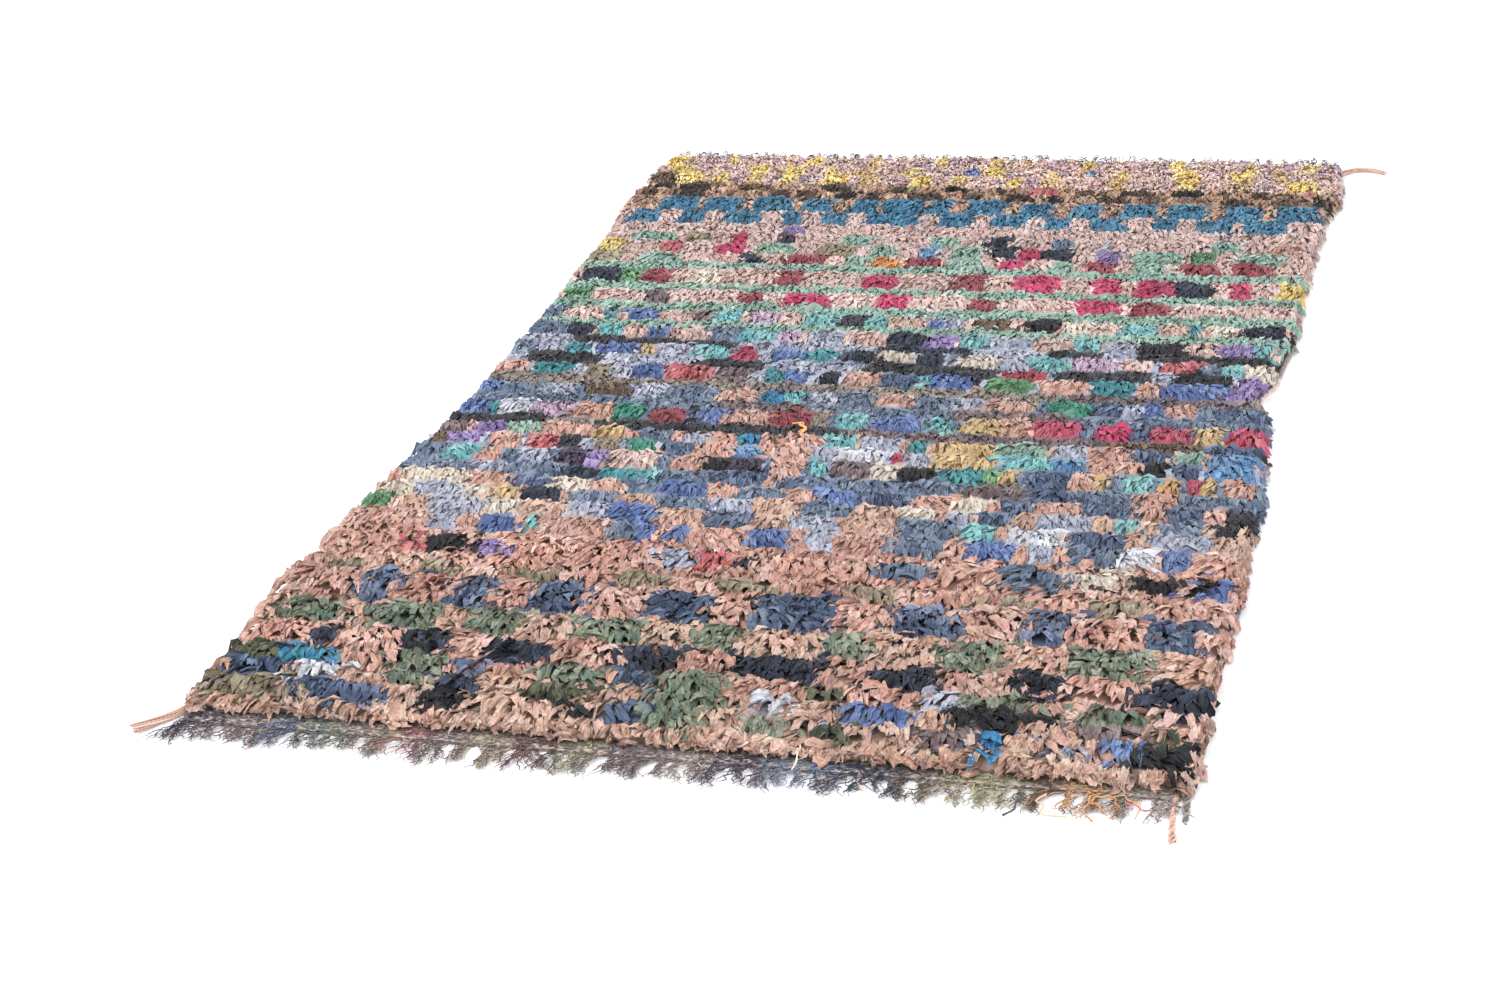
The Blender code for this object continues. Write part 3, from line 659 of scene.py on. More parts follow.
def crown_height(cell, x, s):
    """Height of a cushion's crown over a place in it."""
    half = np.array([[(cell.x1 - cell.x0) / 2, (cell.s1 - cell.s0) / 2]])
    middle = np.array([[(cell.x0 + cell.x1) / 2, (cell.s0 + cell.s1) / 2]])
    thin = np.array([cell.thin])
    out_x, out_y = across_edge(np.array([x]), np.array([s]), half, middle, thin)
    fall = min(float(out_x[0] ** 2 + out_y[0] ** 2), DEEPEST_EDGE)
    return cell.crest * (CROWN - CORE_GROOVE * fall)


def build_core():
    """The matted roots of the strips, a lumpy surface under the pile, darkened as painted shade.
    """
    across = np.linspace(0, 1, CORE_COLUMNS + 1)
    near, far = -LENGTH / 2 + CORE_FRONT, LENGTH / 2 - CORE_BACK
    points = np.empty((CORE_LINES + 1, CORE_COLUMNS + 1, 3))
    dyes = np.empty_like(points)
    for j, s in enumerate(np.linspace(near, far, CORE_LINES + 1)):
        left, right = side_edges(s)
        for i, share in enumerate(across):
            x = left + CORE_INSET + (right - left - 2 * CORE_INSET) * share
            cell, style = cell_at(x, s)
            rim = i in (0, CORE_COLUMNS) or j in (0, CORE_LINES)
            height = CORE_RIM if rim else style.fill * crown_height(cell, x, s)
            points[j, i] = (x, skewed(x, s), height)
            # The roots take their cushion's dye, darkened as painted shade
            dyes[j, i] = any_shade(cell.dye) * style.tone * draw.uniform(*CORE_PAINTED_SHADE)
    points[1:-1, 1:-1] += draw.normal(0, CORE_LUMPS, points[1:-1, 1:-1].shape)
    quads = grid_quads(1, CORE_LINES + 1, CORE_COLUMNS + 1)
    return new_mesh("rag_pile_roots", points, quads, dyes)


def tube_mesh(name, paths, radii, colours, sides=3):
    """Many tubes of the same number of rings as one mesh. paths is strand, ring, xyz; radii
    is strand, ring; colours is strand, ring, rgb, or has one ring for all."""
    tangent = unit(np.gradient(paths, axis=1))
    up = np.zeros_like(paths)
    up[..., 2] = 1
    side = unit(np.cross(tangent, up) + 1e-6)
    normal = np.cross(side, tangent)
    angle = np.arange(sides) * math.tau / sides
    points = (
        paths[:, :, None]
        + side[:, :, None] * (radii[:, :, None] * np.cos(angle))[..., None]
        + normal[:, :, None] * (radii[:, :, None] * np.sin(angle))[..., None]
    )
    return grids_mesh(name, points, np.broadcast_to(colours[:, :, None], points.shape), True)


# Materials


def node(tree, kind, **settings):
    """A new node. in_ before a setting's name means an input of the node."""
    made = tree.nodes.new(kind)
    for key, value in settings.items():
        if key.startswith("in_"):
            made.inputs[key[3:].replace("_", " ")].default_value = value
        else:
            setattr(made, key, value)
    return made


def feed(tree, value, socket):
    """Gives a socket a number, or links it to another socket."""
    if isinstance(value, (int, float)):
        socket.default_value = value
    else:
        tree.links.new(value, socket)


def effect_group(name, **numbers):
    """A shader node group that takes a Color and numbers and puts out a Color and a Height.
    It comes with the sockets inside it and with the object's coordinates."""
    tree = bpy.data.node_groups.new(name, "ShaderNodeTree")
    sockets = [("Color", "INPUT", "Color", (0.5, 0.5, 0.5, 1))]
    sockets += [(key.replace("_", " "), "INPUT", "Float", value) for key, value in numbers.items()]
    sockets += [("Color", "OUTPUT", "Color", None), ("Height", "OUTPUT", "Float", None)]
    for label, way, kind, value in sockets:
        socket = tree.interface.new_socket(label, in_out=way, socket_type="NodeSocket" + kind)
        if value is not None:
            socket.default_value = value
    entry, end = tree.nodes.new("NodeGroupInput"), tree.nodes.new("NodeGroupOutput")
    where = tree.nodes.new("ShaderNodeTexCoord").outputs["Object"]
    return tree, entry.outputs, end.inputs, where


def math_node(tree, operation, a, b=0):
    made = node(tree, "ShaderNodeMath", operation=operation)
    feed(tree, a, made.inputs[0])
    feed(tree, b, made.inputs[1])
    return made.outputs[0]


def noise(tree, where, scale, **settings):
    made = node(tree, "ShaderNodeTexNoise", **settings)
    tree.links.new(where, made.inputs["Vector"])
    feed(tree, scale, made.inputs["Scale"])
    return made.outputs["Fac"]


def ranged(tree, value, low, high):
    made = node(tree, "ShaderNodeMapRange", in_To_Min=low, in_To_Max=high)
    tree.links.new(value, made.inputs["Value"])
    return made.outputs["Result"]


def put_out(tree, given, out, shade, height):
    """Ends a group: its Color times the shade, and the height."""
    made = node(tree, "ShaderNodeVectorMath", operation="SCALE")
    tree.links.new(given["Color"], made.inputs[0])
    tree.links.new(shade, made.inputs["Scale"])
    tree.links.new(made.outputs[0], out["Color"])
    tree.links.new(height, out["Height"])
    return tree


def crumpled_rag():
    """Worn, creased cotton rag: faded patches, painted shade along the creases, and the
    creases as a height.
    """
    tree, given, out, where = effect_group("Crumpled Rag", Crease_Scale=180.0, Fading=0.16)
    sums = partial(math_node, tree)
    patches = noise(tree, where, 42.0, in_Detail=3.0)
    creases = noise(tree, where, given["Crease Scale"], in_Detail=3.0, in_Distortion=1.2)
    folds = sums("ABSOLUTE", sums("SUBTRACT", creases, 0.5))
    ridges = sums("MINIMUM", sums("MULTIPLY", folds, 9.0), 1.0)
    swing = sums("MULTIPLY", sums("SUBTRACT", patches, 0.5), given["Fading"])
    # The colour is darker along the creases, as painted shade, and differs in faded patches
    shade = sums("ADD", ranged(tree, ridges, 0.86, 1.03), sums("MULTIPLY", swing, 4.0))
    return put_out(tree, given, out, shade, ridges)


def woven_ribs():
    """A plain weave: ribs of weft across and warps along, as a painted shade that is darker in
    the hollows between the ribs, and as a height.
    """
    tree, given, out, where = effect_group(
        "Woven Ribs", Weft_Pitch=0.0035, Warp_Pitch=0.0060, Depth=0.5
    )
    sums = partial(math_node, tree)
    apart = node(tree, "ShaderNodeSeparateXYZ")
    tree.links.new(where, apart.inputs[0])
    fuzz = noise(tree, where, 260.0, in_Detail=2.0)
    waves = []
    for axis, pitch in (("Y", "Weft Pitch"), ("X", "Warp Pitch")):
        turns = sums("DIVIDE", apart.outputs[axis], given[pitch])
        turns = sums("ADD", turns, sums("MULTIPLY", fuzz, 0.6))
        wave = sums("SINE", sums("MULTIPLY", turns, math.tau))
        waves.append(ranged(tree, wave, 0.25, 0.75))
    cloth = sums("MULTIPLY", waves[0], sums("ADD", waves[1], 0.5))
    height = sums("ADD", cloth, sums("MULTIPLY", fuzz, 0.4))
    # Painted shade: the colour is darker where the weave's height is low, by the share Depth
    level = sums("SUBTRACT", 1.0, given["Depth"])
    shade = sums("ADD", level, sums("MULTIPLY", height, given["Depth"]))
    return put_out(tree, given, out, shade, height)


def spun_yarn():
    """Plied, fuzzy yarn: fine flecks of light and dark, and fibre as a height."""
    tree, given, out, where = effect_group("Spun Yarn", Fibre_Scale=900.0, Flecks=0.35)
    sums = partial(math_node, tree)
    fibres = noise(tree, where, given["Fibre Scale"], in_Detail=2.0, in_Distortion=0.8)
    swing = sums("MULTIPLY", sums("SUBTRACT", fibres, 0.45), given["Flecks"])
    shade = sums("ADD", 1.0, sums("MULTIPLY", swing, 3.0))
    return put_out(tree, given, out, shade, fibres)


RAG, WEAVE, YARN = crumpled_rag(), woven_ribs(), spun_yarn()


def cloth_material(name, group, roughness, bump, bump_distance, sheen, **values):
    """A matt cloth whose colour is the mesh's own Dye, worked over by one of the groups."""
    material = bpy.data.materials.new(name)
    material.use_nodes = True
    tree = material.node_tree
    surface = tree.nodes["Principled BSDF"]
    surface.inputs["Roughness"].default_value = roughness
    surface.inputs["Specular IOR Level"].default_value = 0.25
    surface.inputs["Sheen Weight"].default_value = sheen
    surface.inputs["Sheen Roughness"].default_value = 0.5
    dye = node(tree, "ShaderNodeAttribute", attribute_name="Dye")
    worked = node(tree, "ShaderNodeGroup", node_tree=group)
    for key, value in values.items():
        worked.inputs[key.replace("_", " ")].default_value = value
    relief = node(tree, "ShaderNodeBump", in_Strength=bump, in_Distance=bump_distance)
    tree.links.new(dye.outputs["Color"], worked.inputs["Color"])
    tree.links.new(worked.outputs["Color"], surface.inputs["Base Color"])
    tree.links.new(worked.outputs["Height"], relief.inputs["Height"])
    tree.links.new(relief.outputs["Normal"], surface.inputs["Normal"])
    return material


MATERIALS = {
    "crisp": cloth_material("crisp_cotton_rag", RAG, 0.85, 0.80, 0.0016, 0.10, Crease_Scale=170.0),
    "soft": cloth_material("soft_jersey_rag", RAG, 0.92, 0.35, 0.0008, 0.20, Crease_Scale=230.0),
    "ground": cloth_material("woven_ground", WEAVE, 0.92, 0.6, 0.0010, 0.10, Depth=0.55),
    "wrap": cloth_material("side_wrap", YARN, 0.90, 0.5, 0.0006, 0.15, Flecks=0.45),
    "yarn": cloth_material("plied_yarn", YARN, 0.92, 0.4, 0.0003, 0.20, Flecks=0.40),
    "tail": cloth_material("warp_tail", YARN, 0.90, 0.5, 0.0004, 0.15, Flecks=0.30),
}


def finish_piece(obj, material, slot, *nodes):
    """Gives a piece its material, puts it under the root body and hides the CAD parts it
    stands for. slot is not used.
    """
    obj.data.materials.append(MATERIALS[material])
    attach(obj, "root")
    if nodes:
        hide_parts(*nodes)
    return obj


# The woven ground, from one web to the other

GROUND_COLUMNS, GROUND_LINES = 48, 80
GROUND_THICKNESS = 0.0030
# Painted shade: the top of the ground, hidden under the pile, is darkened to the first share; the
# underside is made darker by the second
TOP_PAINTED_SHADE, BACK_SHADE = 0.45, 0.85


def build_ground():
    """The woven wool that the strips are knotted into, as a thin closed sheet."""
    across = np.linspace(0, 1, GROUND_COLUMNS + 1)
    rows = np.linspace(-LENGTH / 2, LENGTH / 2, GROUND_LINES - 1)
    # A first and a last station beyond the ends stand for the webs' outer edges
    stations = np.concatenate([[-LENGTH / 2 - 1], rows, [LENGTH / 2 + 1]])
    tall, wide = len(stations), len(across)
    grid = np.empty((tall, wide, 3))
    colours = np.empty_like(grid)
    for j, s in enumerate(stations):
        inside = np.clip(s, -LENGTH / 2, LENGTH / 2)
        left, right = side_edges(inside)
        web = 0
        if s < inside:
            web = -lerp(NEAR_WEB, across)
        elif s > inside:
            web = lerp(FAR_WEB, across)
        grid[j, :, 0] = left + (right - left) * across
        grid[j, :, 1] = inside + END_SKEW * (across - 0.5) + web
        for i, x in enumerate(grid[j, :, 0]):
            colours[j, i] = SHADES["web" if s != inside else cell_at(x, s)[0].dye][0]
    points = np.stack([grid, grid])
    points[0, ..., 2] = GROUND_THICKNESS
    points[1, ..., 2] = 0.0
    colours = colours * draw.uniform(0.85, 1.1, (tall, wide, 1))
    # Painted shade darkens the top under the pile; the webs' top rows then keep the web's dye
    dyes = np.stack([colours * TOP_PAINTED_SHADE, colours * BACK_SHADE])
    dyes[0, [0, 1, -2, -1]] = SHADES["web"][0]
    upper = grid_quads(1, tall, wide)
    lower = upper[:, ::-1] + tall * wide
    rim = np.concatenate([
        np.arange(wide - 1),
        np.arange(tall - 1) * wide + wide - 1,
        (tall - 1) * wide + np.arange(wide - 1, 0, -1),
        np.arange(tall - 1, 0, -1) * wide,
    ])
    after = np.roll(rim, -1)
    walls = np.stack([after, rim, rim + tall * wide, after + tall * wide], -1)
    return new_mesh("woven_ground", points, np.concatenate([upper, lower, walls]), dyes)


ground = finish_piece(build_ground(), "ground", "rag_pile", "rag_pile_rug")
pile = [finish_piece(build_core(), "soft", "rag_pile")]
for style in STYLES:
    material = "crisp" if style.start == 0 else "soft"
    pile.append(finish_piece(grow_strips(style), material, "rag_pile"))

# The side cords, wrapped over and over

CORD_WIDTH, CORD_HEIGHT = 0.011, 0.0075
CORD_GAP = 0.0003
WRAP_PITCH = 0.0050
CORD_SIDES = 7
RIB_DIP = 0.80  # how thin the cord is between two turns of its wrap
WRAP_LEAN = 0.0016  # how far a turn leans along the cord
CORD_LUMPS = 0.06
# Painted shade: the yarn in the groove between two turns is darkened to this share
GROOVE_PAINTED_SHADE = 0.55  # how dark the yarn between two turns is
# Where each cord changes its yarn: y up to which it has the dye
CORD_DYES = {
    "left": ((-0.90, "taupe"), (-0.57, "sand"), (-0.38, "charcoal"), (-0.05, "mauve"),
             (0.30, "taupe"), (0.62, "sand"), (0.98, "taupe"), (1.3, "charcoal")),
    "right": ((-0.95, "taupe"), (-0.75, "sand"), (-0.53, "slate"), (-0.30, "charcoal"),
              (-0.07, "taupe"), (0.14, "blush"), (0.32, "taupe"), (0.98, "sand"),
              (1.3, "navy")),
}


def build_side_cord(side):
    """A bundle of warps with rag and yarn wrapped over it, ribbed by each turn."""
    steps = int(LENGTH / WRAP_PITCH) * 2
    s = np.linspace(-LENGTH / 2, LENGTH / 2, steps)
    left, right = side_edges(s)
    if side == "left":
        centre_x, y = left - CORD_GAP - CORD_WIDTH / 2, s - END_SKEW / 2
    else:
        centre_x, y = right + CORD_GAP + CORD_WIDTH / 2, s + END_SKEW / 2
    angle = np.arange(CORD_SIDES) * math.tau / CORD_SIDES
    ribs = np.where(np.arange(steps) % 2, 1.0, RIB_DIP)[:, None]
    lumps = 1 + CORD_LUMPS * np.sin(s * 70 + 3 * np.sin(s * 23))[:, None]
    points = np.empty((steps, CORD_SIDES, 3))
    points[..., 0] = centre_x[:, None] + CORD_WIDTH / 2 * ribs * lumps * np.cos(angle)
    points[..., 1] = y[:, None] + WRAP_LEAN * np.cos(angle)[None]
    points[..., 2] = CORD_HEIGHT / 2 * (1 + ribs * lumps * np.sin(angle))
    points[..., 2] = np.clip(points[..., 2], 0.0001, None)
    colours = np.empty((steps, CORD_SIDES, 3))
    for j, station in enumerate(s):
        shades = SHADES[next(name for stop, name in CORD_DYES[side] if station < stop)]
        # The turns of the wrap step through the dye's shades by sevens
        shade = shades[(j // 2 * 7) % len(shades)]
        # The rings in the grooves between turns get painted shade
        colours[j] = shade * (1.0 if j % 2 else GROOVE_PAINTED_SHADE)
    # A ring's points run the other way round than in tube_mesh, so its quads are turned
    quads = grid_quads(1, steps, CORD_SIDES, closed=True)[:, [1, 0, 3, 2]]
    obj = new_mesh(f"wrapped_cord_{side}", points, quads, colours, True)
    return finish_piece(obj, "wrap", "side_wrap", f"side_cord_{side}")


cords = [build_side_cord("left"), build_side_cord("right")]

# The fringes: thin kinked yarns in lacy groups

# x up to which the near fringe has the dye
FRINGE_DYES = (
    (-0.66, "plum"), (-0.58, "mauve"), (-0.53, "denim"), (-0.47, "sage"), (-0.42, "mauve"),
    (-0.37, "khaki"), (-0.34, "garnet"), (-0.28, "mauve"), (-0.20, "khaki"), (-0.13, "wine"),
    (-0.11, "sage"), (-0.07, "straw"), (0.05, "mauve"), (0.10, "taupe"), (0.17, "plum"),
    (0.27, "slate"), (0.37, "navy"), (0.42, "brown"), (0.54, "straw"), (0.59, "brown"),
    (0.65, "apricot"), (0.80, "taupe"),
)
LOCAL_SHARE = 0.70  # of the near fringe's yarns that have the dye of their place
Fringe = namedtuple(
    "Fringe", "name node sign webs groups yarns shortest longest spread lift mix"
)
NEAR_FRINGE = Fringe(
    "near_fringe_yarns", "near_fringe", -1, NEAR_WEB, 74, 10, 0.046, 0.072, 0.034, 0.004,
    ("taupe", "mauve", "charcoal", "speckle", "brown"),
)
FAR_FRINGE = Fringe(
    "far_fringe_yarns", "far_fringe", 1, FAR_WEB, 84, 4, 0.006, 0.016, 0.030, 0.028,
    ("speckle", "mauve", "confetti", "slate", "charcoal"),
)
YARN_RADIUS = 0.00085
YARN_RINGS = 17
WEB_OVERLAP = 0.005  # how far inside the web's edge a yarn begins
FRINGE_SLANT = -0.007  # how far a group's tip lies to the left of its root
TIP_SPREAD = 0.0125  # how far a bunch opens at its end
OPENING = 0.40  # the share of a yarn's length from which the bunch opens
YARN_LENGTH = (0.70, 1.03)  # of a yarn against its group's
BUNCH_WIDTH = (0.6, 1.5)  # of a group's two roots against the usual spread
LOOP_RUN = 0.03  # how much longer a loop of the far fringe is than it reaches
YARN_KINKS = ((0.0032, 0.015), (0.0018, 0.0070))  # size and pitch


def fringe_dye(x):
    """The dye of the near fringe about x."""
    return next(dye for limit, dye in FRINGE_DYES if x + draw.normal(0, 0.014) < limit)


def yarn_dye(kind, x):
    """The dye of a yarn of a fringe: that of its place, or one of the fringe's mix."""
    if kind.sign < 0 and draw.random() < LOCAL_SHARE:
        return fringe_dye(x)
    return kind.mix[draw.integers(0, len(kind.mix))]


def build_fringe(kind):
    """The kinked yarns beyond one end of the rug."""
    near = kind.sign < 0
    count = kind.groups * kind.yarns
    group = np.repeat(np.arange(kind.groups), kind.yarns)
    across = np.arange(kind.groups) + draw.uniform(0.15, 0.85, kind.groups)
    across = across[group] / kind.groups
    end = kind.sign * LENGTH / 2
    left, right = side_edges(np.full(count, end))
    root_x = left + (right - left) * across
    base_y = end + END_SKEW * (across - 0.5) + kind.sign * lerp(kind.webs, across)
    base_y -= kind.sign * WEB_OVERLAP
    length = draw.uniform(kind.shortest, kind.longest, kind.groups)[group]
    t = np.linspace(0, 1, YARN_RINGS)[None]
    own_length = (length * draw.uniform(*YARN_LENGTH, count))[:, None]
    if near:
        # The yarns of a group leave the web at both its sides, meet and open at the tip
        half = draw.choice((-0.5, 0.5), count) * draw.uniform(0.35, 1.0, count) * kind.spread
        half *= draw.uniform(*BUNCH_WIDTH, kind.groups)[group]
        drift = draw.normal(FRINGE_SLANT, 0.010, kind.groups)[group]
        stop = root_x + drift + draw.normal(0, 0.0018, count)
        bunch = np.minimum(t * 1.8, 1)
        reached = own_length * t
        arch = draw.uniform(0.2, 1.0, (count, 1)) * kind.lift * np.sin(math.pi * t) ** 0.7
    else:
        # They stand up as loops that lean on the pile
        half = draw.uniform(-0.5, 0.5, count) * kind.spread
        stop = root_x - half + draw.normal(0, 0.006, count)
        bunch = t
        reached = own_length * np.sin(math.pi * t)
        arch = draw.uniform(0.55, 1.05, (count, 1)) * kind.lift * np.sin(math.pi * t) ** 0.35
    start = np.clip(root_x + half, left, right)
    x = start[:, None] * (1 - bunch) + stop[:, None] * bunch
    if near:
        opened = TIP_SPREAD * draw.uniform(0.4, 1.7, kind.groups)[group][:, None]
        x = x + opened * draw.normal(0, 1, (count, 1)) * np.maximum(t - OPENING, 0) / (1 - OPENING)
    y = base_y[:, None] + kind.sign * reached
    z = YARN_RADIUS + 0.0012 + arch
    run = own_length if near else own_length + LOOP_RUN
    for size, pitch in YARN_KINKS:
        turns = math.tau * run / (pitch * draw.uniform(0.8, 1.25, (count, 1))) * t
        phase = draw.uniform(0, math.tau, (count, 1))
        wide = size * draw.uniform(0.5, 1.2, (count, 1)) * np.minimum(t * 6, 1)
        x = x + wide * np.cos(turns + phase)
        y = y + 0.7 * wide * np.sin(turns + 1.7 * phase)
        z = z + 0.4 * wide * (1 + np.sin(turns + phase))
    thinned = np.interp(t, (0, 0.9, 1), (1, 1, 0.5))
    radii = YARN_RADIUS * draw.uniform(0.7, 1.3, (count, 1)) * thinned
    colours = [any_shade(yarn_dye(kind, place)) * draw.uniform(0.65, 1.05) for place in root_x]
    obj = tube_mesh(kind.name, np.stack([x, y, z], -1), radii, np.array(colours)[:, None])
    return finish_piece(obj, "yarn", "web_yarn", kind.node)


WEFTS = 9
WEFT_STEP = 0.0045
WEFT_RADIUS = 0.0019
PLAIN_SHARE = 0.6  # of a weft's stretches, the ones with the web's own dye


def build_web_wefts():
    """The yarns woven across the flat near web, speckled and fuzzy."""
    rings = round((SIDE_STATIONS[0][2] - SIDE_STATIONS[0][1]) / WEFT_STEP)
    across = np.linspace(0.004, 0.996, rings)[None]
    share = ((np.arange(WEFTS) + 0.5) / WEFTS)[:, None]
    left, right = side_edges(-LENGTH / 2)
    x = left + (right - left) * across + draw.normal(0, 0.0006, (WEFTS, rings))
    depth = lerp(NEAR_WEB, across) + 0.006
    y = -LENGTH / 2 + 0.006 + END_SKEW * (across - 0.5) - depth * share
    y = y + draw.normal(0, 0.0007, (WEFTS, rings))
    z = GROUND_THICKNESS + 0.3 * WEFT_RADIUS + draw.uniform(0, 0.0012, (WEFTS, rings))
    radii = WEFT_RADIUS * draw.uniform(0.7, 1.2, (WEFTS, rings))
    colours = np.empty((WEFTS, rings, 3))
    for place in np.ndindex(WEFTS, rings):
        dye = "web" if draw.random() < PLAIN_SHARE else fringe_dye(x[place])
        colours[place] = any_shade(dye) * draw.uniform(0.45, 1.25)
    obj = tube_mesh("near_web_wefts", np.stack([x, y, z], -1), radii, colours)
    return finish_piece(obj, "yarn", "web_yarn")


CURLS = 620
CURL_RINGS = 9


def build_web_curls():
    """Short curls of yarn that lie on the near web."""
    across = draw.uniform(0.004, 0.996, CURLS)
    left, right = side_edges(-LENGTH / 2)
    x = left + (right - left) * across
    out = lerp(NEAR_WEB, across) * draw.uniform(-0.1, 1, CURLS)
    y = -LENGTH / 2 + END_SKEW * (across - 0.5) - out
    t = np.linspace(0, 1, CURL_RINGS)[None]
    way = draw.uniform(0, math.tau, (CURLS, 1))
    turn = way + draw.choice((-1, 1), (CURLS, 1)) * draw.uniform(2.0, 5.5, (CURLS, 1)) * t
    step = draw.uniform(0.010, 0.020, (CURLS, 1)) / (CURL_RINGS - 1)
    paths = np.stack([
        x[:, None] + np.cumsum(step * np.cos(turn), 1),
        y[:, None] + np.cumsum(step * np.sin(turn), 1),
        np.broadcast_to(GROUND_THICKNESS + 0.0034 + 0.0015 * np.sin(math.pi * t), turn.shape),
    ], -1)
    radii = draw.uniform(0.0006, 0.0011, (CURLS, 1)) * np.ones_like(t)
    colours = [any_shade(fringe_dye(place)) * draw.uniform(0.5, 1.1) for place in x]
    obj = tube_mesh("near_web_curls", paths, radii, np.array(colours)[:, None])
    return finish_piece(obj, "yarn", "web_yarn")


fringes = [
    build_fringe(NEAR_FRINGE),
    build_fringe(FAR_FRINGE),
    build_web_wefts(),
    build_web_curls(),
]

# Single loose strands: x and y of the root, the way it lies in degrees from +X, length, how
# far it bends, height at the root and at the tip
Strand = namedtuple("Strand", "x y way length bend root tip radius dye")
STRANDS = (
    Strand(-0.072, -0.182, -52, 0.042, 0.013, 0.034, 0.031, 0.0021, "orange"),
    Strand(-0.060, -0.176, -75, 0.034, 0.009, 0.034, 0.031, 0.0019, "orange"),
    Strand(0.570, -1.195, -55, 0.050, -0.022, 0.009, 0.002, 0.0012, "apricot"),
    Strand(0.640, -1.185, -95, 0.052, -0.012, 0.010, 0.002, 0.0014, "apricot"),
    Strand(0.655, -1.190, -35, 0.050, 0.018, 0.009, 0.002, 0.0011, "apricot"),
    Strand(0.650, -1.188, -70, 0.040, 0.012, 0.009, 0.002, 0.0012, "orange"),
    Strand(0.628, -1.192, -20, 0.040, -0.016, 0.009, 0.002, 0.0015, "orange"),
    Strand(0.632, -1.205, 15, 0.036, 0.014, 0.008, 0.004, 0.0013, "apricot"),
    Strand(0.675, -1.190, -15, 0.040, -0.010, 0.008, 0.002, 0.0012, "coral"),
    Strand(0.215, -1.150, -92, 0.040, 0.003, 0.022, 0.006, 0.0016, "cream"),
    Strand(-0.085, -1.090, -118, 0.045, 0.004, 0.034, 0.020, 0.0010, "navy"),
    Strand(0.275, -1.075, -120, 0.045, -0.005, 0.036, 0.022, 0.0010, "black"),
    Strand(0.535, -1.195, -105, 0.050, 0.008, 0.008, 0.002, 0.0014, "charcoal"),
)
STRAND_RINGS = 12


def build_strands():
    """The single strands that stick out of the pile and the web."""
    t = np.linspace(0, 1, STRAND_RINGS)
    paths, radii, colours = [], [], []
    for strand in STRANDS:
        way = math.radians(strand.way)
        ahead = strand.length * t
        bow = strand.bend * (np.sin(math.pi * t) + 0.35 * np.sin(3.3 * math.pi * t))
        x = strand.x + math.cos(way) * ahead - math.sin(way) * bow
        y = strand.y + math.sin(way) * ahead + math.cos(way) * bow
        z = strand.root + (strand.tip - strand.root) * t + 0.004 * np.sin(math.pi * t)
        paths.append(np.stack([x, y, z], -1))
        radii.append(strand.radius * draw.uniform(0.7, 1.3, STRAND_RINGS))
        colours.append([any_shade(strand.dye)])
    obj = tube_mesh("loose_strands", np.array(paths), np.array(radii), np.array(colours), 5)
    return finish_piece(obj, "soft", "rag_pile")


strands = build_strands()

# The warp tails at the corners: bundles of cords on a route

Tail = namedtuple("Tail", "name end height strands radius turns dye route")
TAILS = (
    # each point of a route: x, distance beyond the end, width of the bundle
    Tail("tail_near_left", -1, 0.010, 8, 0.0017, 0.3, "sand",
         ((-0.7370, 0.0004, 0.014), (-0.7460, 0.0180, 0.016), (-0.7620, 0.0380, 0.018),
          (-0.7800, 0.0560, 0.022), (-0.7960, 0.0720, 0.028))),
    Tail("tail_near_right", -1, 0.007, 3, 0.0019, 5.0, "sand",
         ((0.7395, 0.0004, 0.008), (0.7385, 0.0260, 0.009), (0.7405, 0.0550, 0.008),
          (0.7440, 0.0850, 0.009), (0.7500, 0.1200, 0.013))),
    Tail("tail_near_right_short", -1, 0.006, 3, 0.0017, 2.5, "taupe",
         ((0.7515, 0.0004, 0.010), (0.7545, 0.0220, 0.012), (0.7570, 0.0440, 0.011),
          (0.7590, 0.0720, 0.008))),
    Tail("tail_far_right", 1, 0.008, 6, 0.0014, 0.8, "sand",
         ((0.7435, 0.0004, 0.014), (0.7560, 0.0200, 0.019), (0.7800, 0.0350, 0.017),
          (0.8060, 0.0340, 0.010), (0.8280, 0.0230, 0.005), (0.8410, 0.0130, 0.003))),
)
TAIL_RINGS = 44
# Painted light and shade: the thick places along a tail's cords are brighter, the thin places
# between them darker
TWIST_BEADS = 16  # thick, bright places along a cord of a tail
BEAD_HEIGHT, BEAD_PAINTED_SHADE = 0.16, 0.12


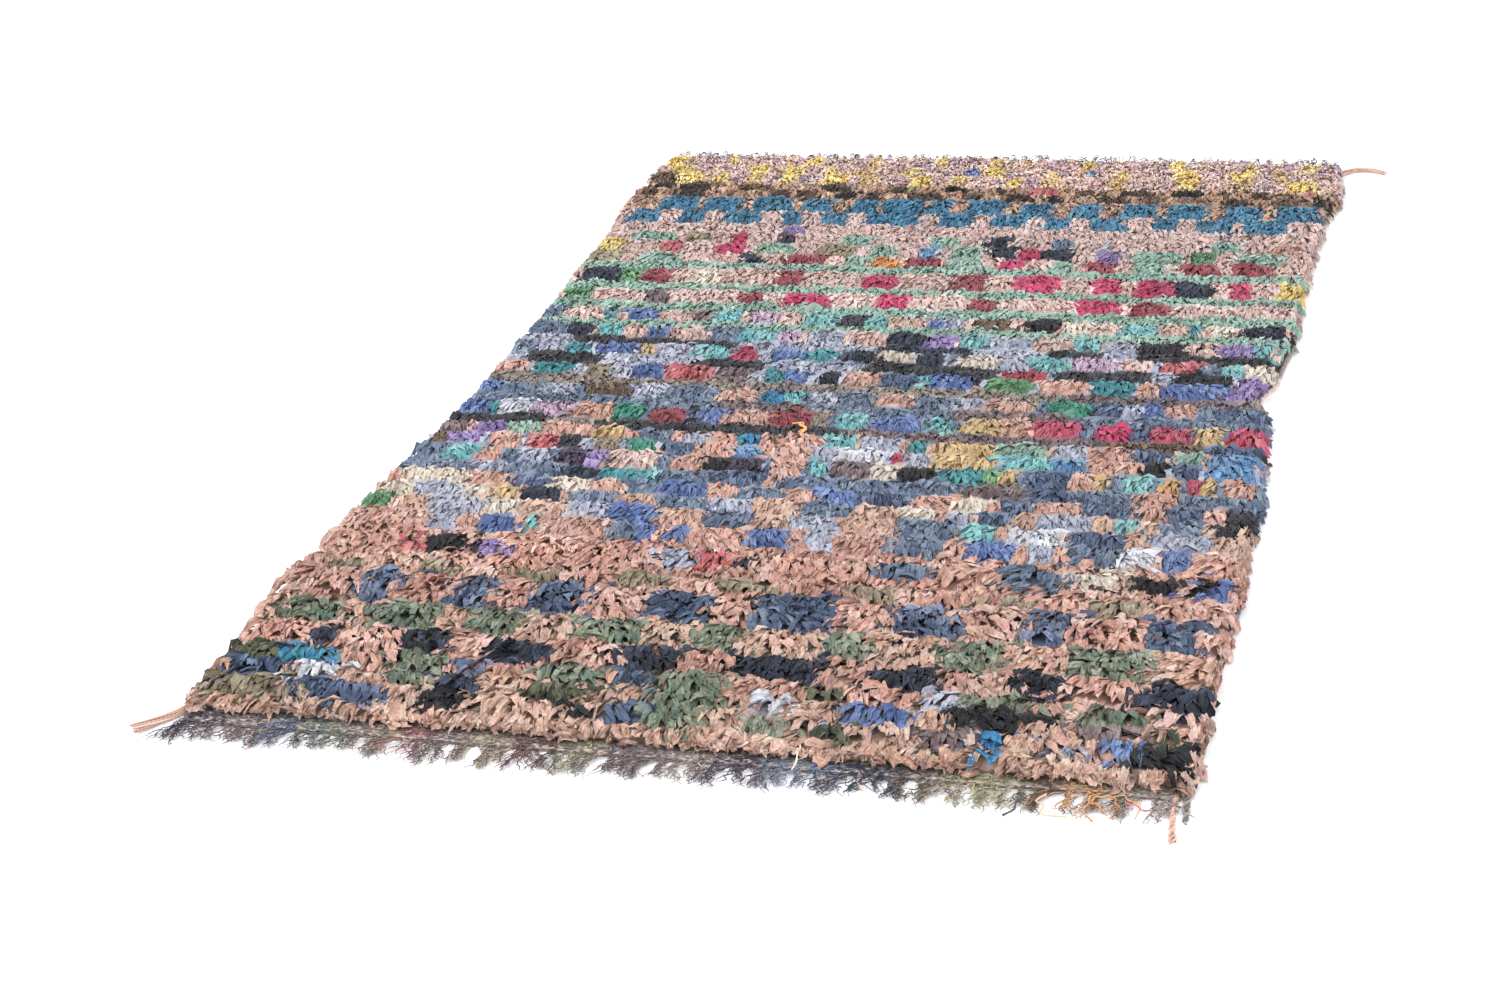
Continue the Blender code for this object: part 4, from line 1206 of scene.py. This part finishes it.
def build_tail(tail):
    """A tail's cords, twisted about each other along its route."""
    route = np.array(tail.route)
    t = np.linspace(0, 1, TAIL_RINGS)
    stops = np.linspace(0, 1, len(route))
    x, beyond, width = (np.interp(t, stops, column) for column in route.T)
    line = np.stack([x, skewed(x, tail.end * LENGTH / 2) + tail.end * beyond], -1)
    heading = unit(np.gradient(line, axis=0))
    sideways = np.stack([-heading[:, 1], heading[:, 0]], -1)
    phases = (np.arange(tail.strands) * math.tau / tail.strands)[:, None]
    turn = phases + math.tau * tail.turns * t[None]
    room = np.maximum(width / 2 - tail.radius, 0.0002)[None]
    rise = max(tail.height / 2 - tail.radius, 0.0004)
    wobble = draw.normal(0, 0.0003, (tail.strands, TAIL_RINGS)).cumsum(1) * 0.35
    paths = np.empty((tail.strands, TAIL_RINGS, 3))
    offset = np.cos(turn) * room + wobble
    paths[..., 0] = line[:, 0] + sideways[:, 0] * offset
    paths[..., 1] = line[:, 1] + sideways[:, 1] * offset
    paths[..., 2] = tail.radius * 1.15 + rise * (1 + np.sin(turn))
    end_cut = 1 - draw.uniform(0, 0.10, (tail.strands, 1))
    paths[:, :, :2] = line[0] + (paths[:, :, :2] - line[0]) * end_cut[..., None]
    beads = np.sin(math.tau * t * TWIST_BEADS + phases * 3)
    radii = tail.radius * (1 + BEAD_HEIGHT * beads) * np.interp(t, (0, 0.96, 1), (1, 1, 0.6))
    radii = np.minimum(radii, np.maximum(width / 2, 0.0008))
    colours = [[any_shade(tail.dye) * draw.uniform(0.75, 0.98)] for _ in range(tail.strands)]
    # Painted light and shade with the beads: brighter where a cord is thick, darker where it is
    # thin
    colours = np.array(colours) * (1 - BEAD_PAINTED_SHADE + BEAD_PAINTED_SHADE * beads)[..., None]
    obj = tube_mesh(tail.name + "_cords", paths, radii, colours, sides=6)
    return finish_piece(obj, "tail", "warp_tail", tail.name)


tails = [build_tail(tail) for tail in TAILS]

# Floor, light and camera

FLOOR_HALF = 15.0
FLOOR_DROP = 0.0002
mesh = bpy.data.meshes.new("floor")
mesh.from_pydata(
    [(FLOOR_HALF * x, FLOOR_HALF * y, 0) for x, y in ((-1, -1), (1, -1), (1, 1), (-1, 1))],
    [],
    [(0, 1, 2, 3)],
)
floor = bpy.data.objects.new("floor", mesh)
floor.location.z = -FLOOR_DROP
bpy.context.scene.collection.objects.link(floor)
floor_material = bpy.data.materials.new("pale_floor")
floor_material.use_nodes = True
surface = floor_material.node_tree.nodes["Principled BSDF"]
surface.inputs["Base Color"].default_value = (0.93, 0.93, 0.94, 1)
surface.inputs["Roughness"].default_value = 0.9
surface.inputs["Specular IOR Level"].default_value = 0.1
mesh.materials.append(floor_material)

world = bpy.data.worlds.new("studio")
world.use_nodes = True
world.node_tree.nodes["Background"].inputs["Color"].default_value = (0.97, 0.98, 1.0, 1)
world.node_tree.nodes["Background"].inputs["Strength"].default_value = 1.32
bpy.context.scene.world = world
bpy.context.scene.view_settings.view_transform = "Standard"

# Square lamps with their place, the point they aim at, their side in metres and their watts
Lamp = namedtuple("Lamp", "name place aim size power")
LAMPS = (
    Lamp("soft_key", (-2.6, -1.0, 3.6), (0, 0, 0), 2.6, 110),
    Lamp("soft_fill", (3.0, -2.5, 3.0), (0, 0.2, 0), 2.6, 50),
)
CAMERA_LENS, CAMERA_SENSOR = 60.24, 36.0
CAMERA_PLACE = (1.161, -3.9445, 1.926)
# The directions of the camera's own right, up and back
CAMERA_X = (0.95362, 0.28794, -0.08772)
CAMERA_Y = (-0.05801, 0.46178, 0.88510)
CAMERA_Z = (0.29536, -0.83897, 0.45706)


def put(data, right, up, back, place):
    """A lamp or camera at a place, with the directions of its own three axes."""
    matrix = Matrix(list(zip(right, up, back))).to_4x4()
    matrix.translation = place
    holder = bpy.data.objects.new(data.name, data)
    holder.matrix_world = matrix
    bpy.context.scene.collection.objects.link(holder)
    return holder


for lamp in LAMPS:
    light = bpy.data.lights.new(lamp.name, "AREA")
    light.shape = "SQUARE"
    light.size = lamp.size
    light.energy = lamp.power
    back = unit(np.array(lamp.place, float) - np.array(lamp.aim, float))
    right = unit(np.cross((0, 0, 1), back))
    put(light, right, np.cross(back, right), back, lamp.place)

camera_data = bpy.data.cameras.new("camera")
camera_data.lens = CAMERA_LENS
camera_data.sensor_width = CAMERA_SENSOR
camera_data.clip_end = 100.0
bpy.context.scene.camera = put(camera_data, CAMERA_X, CAMERA_Y, CAMERA_Z, CAMERA_PLACE)
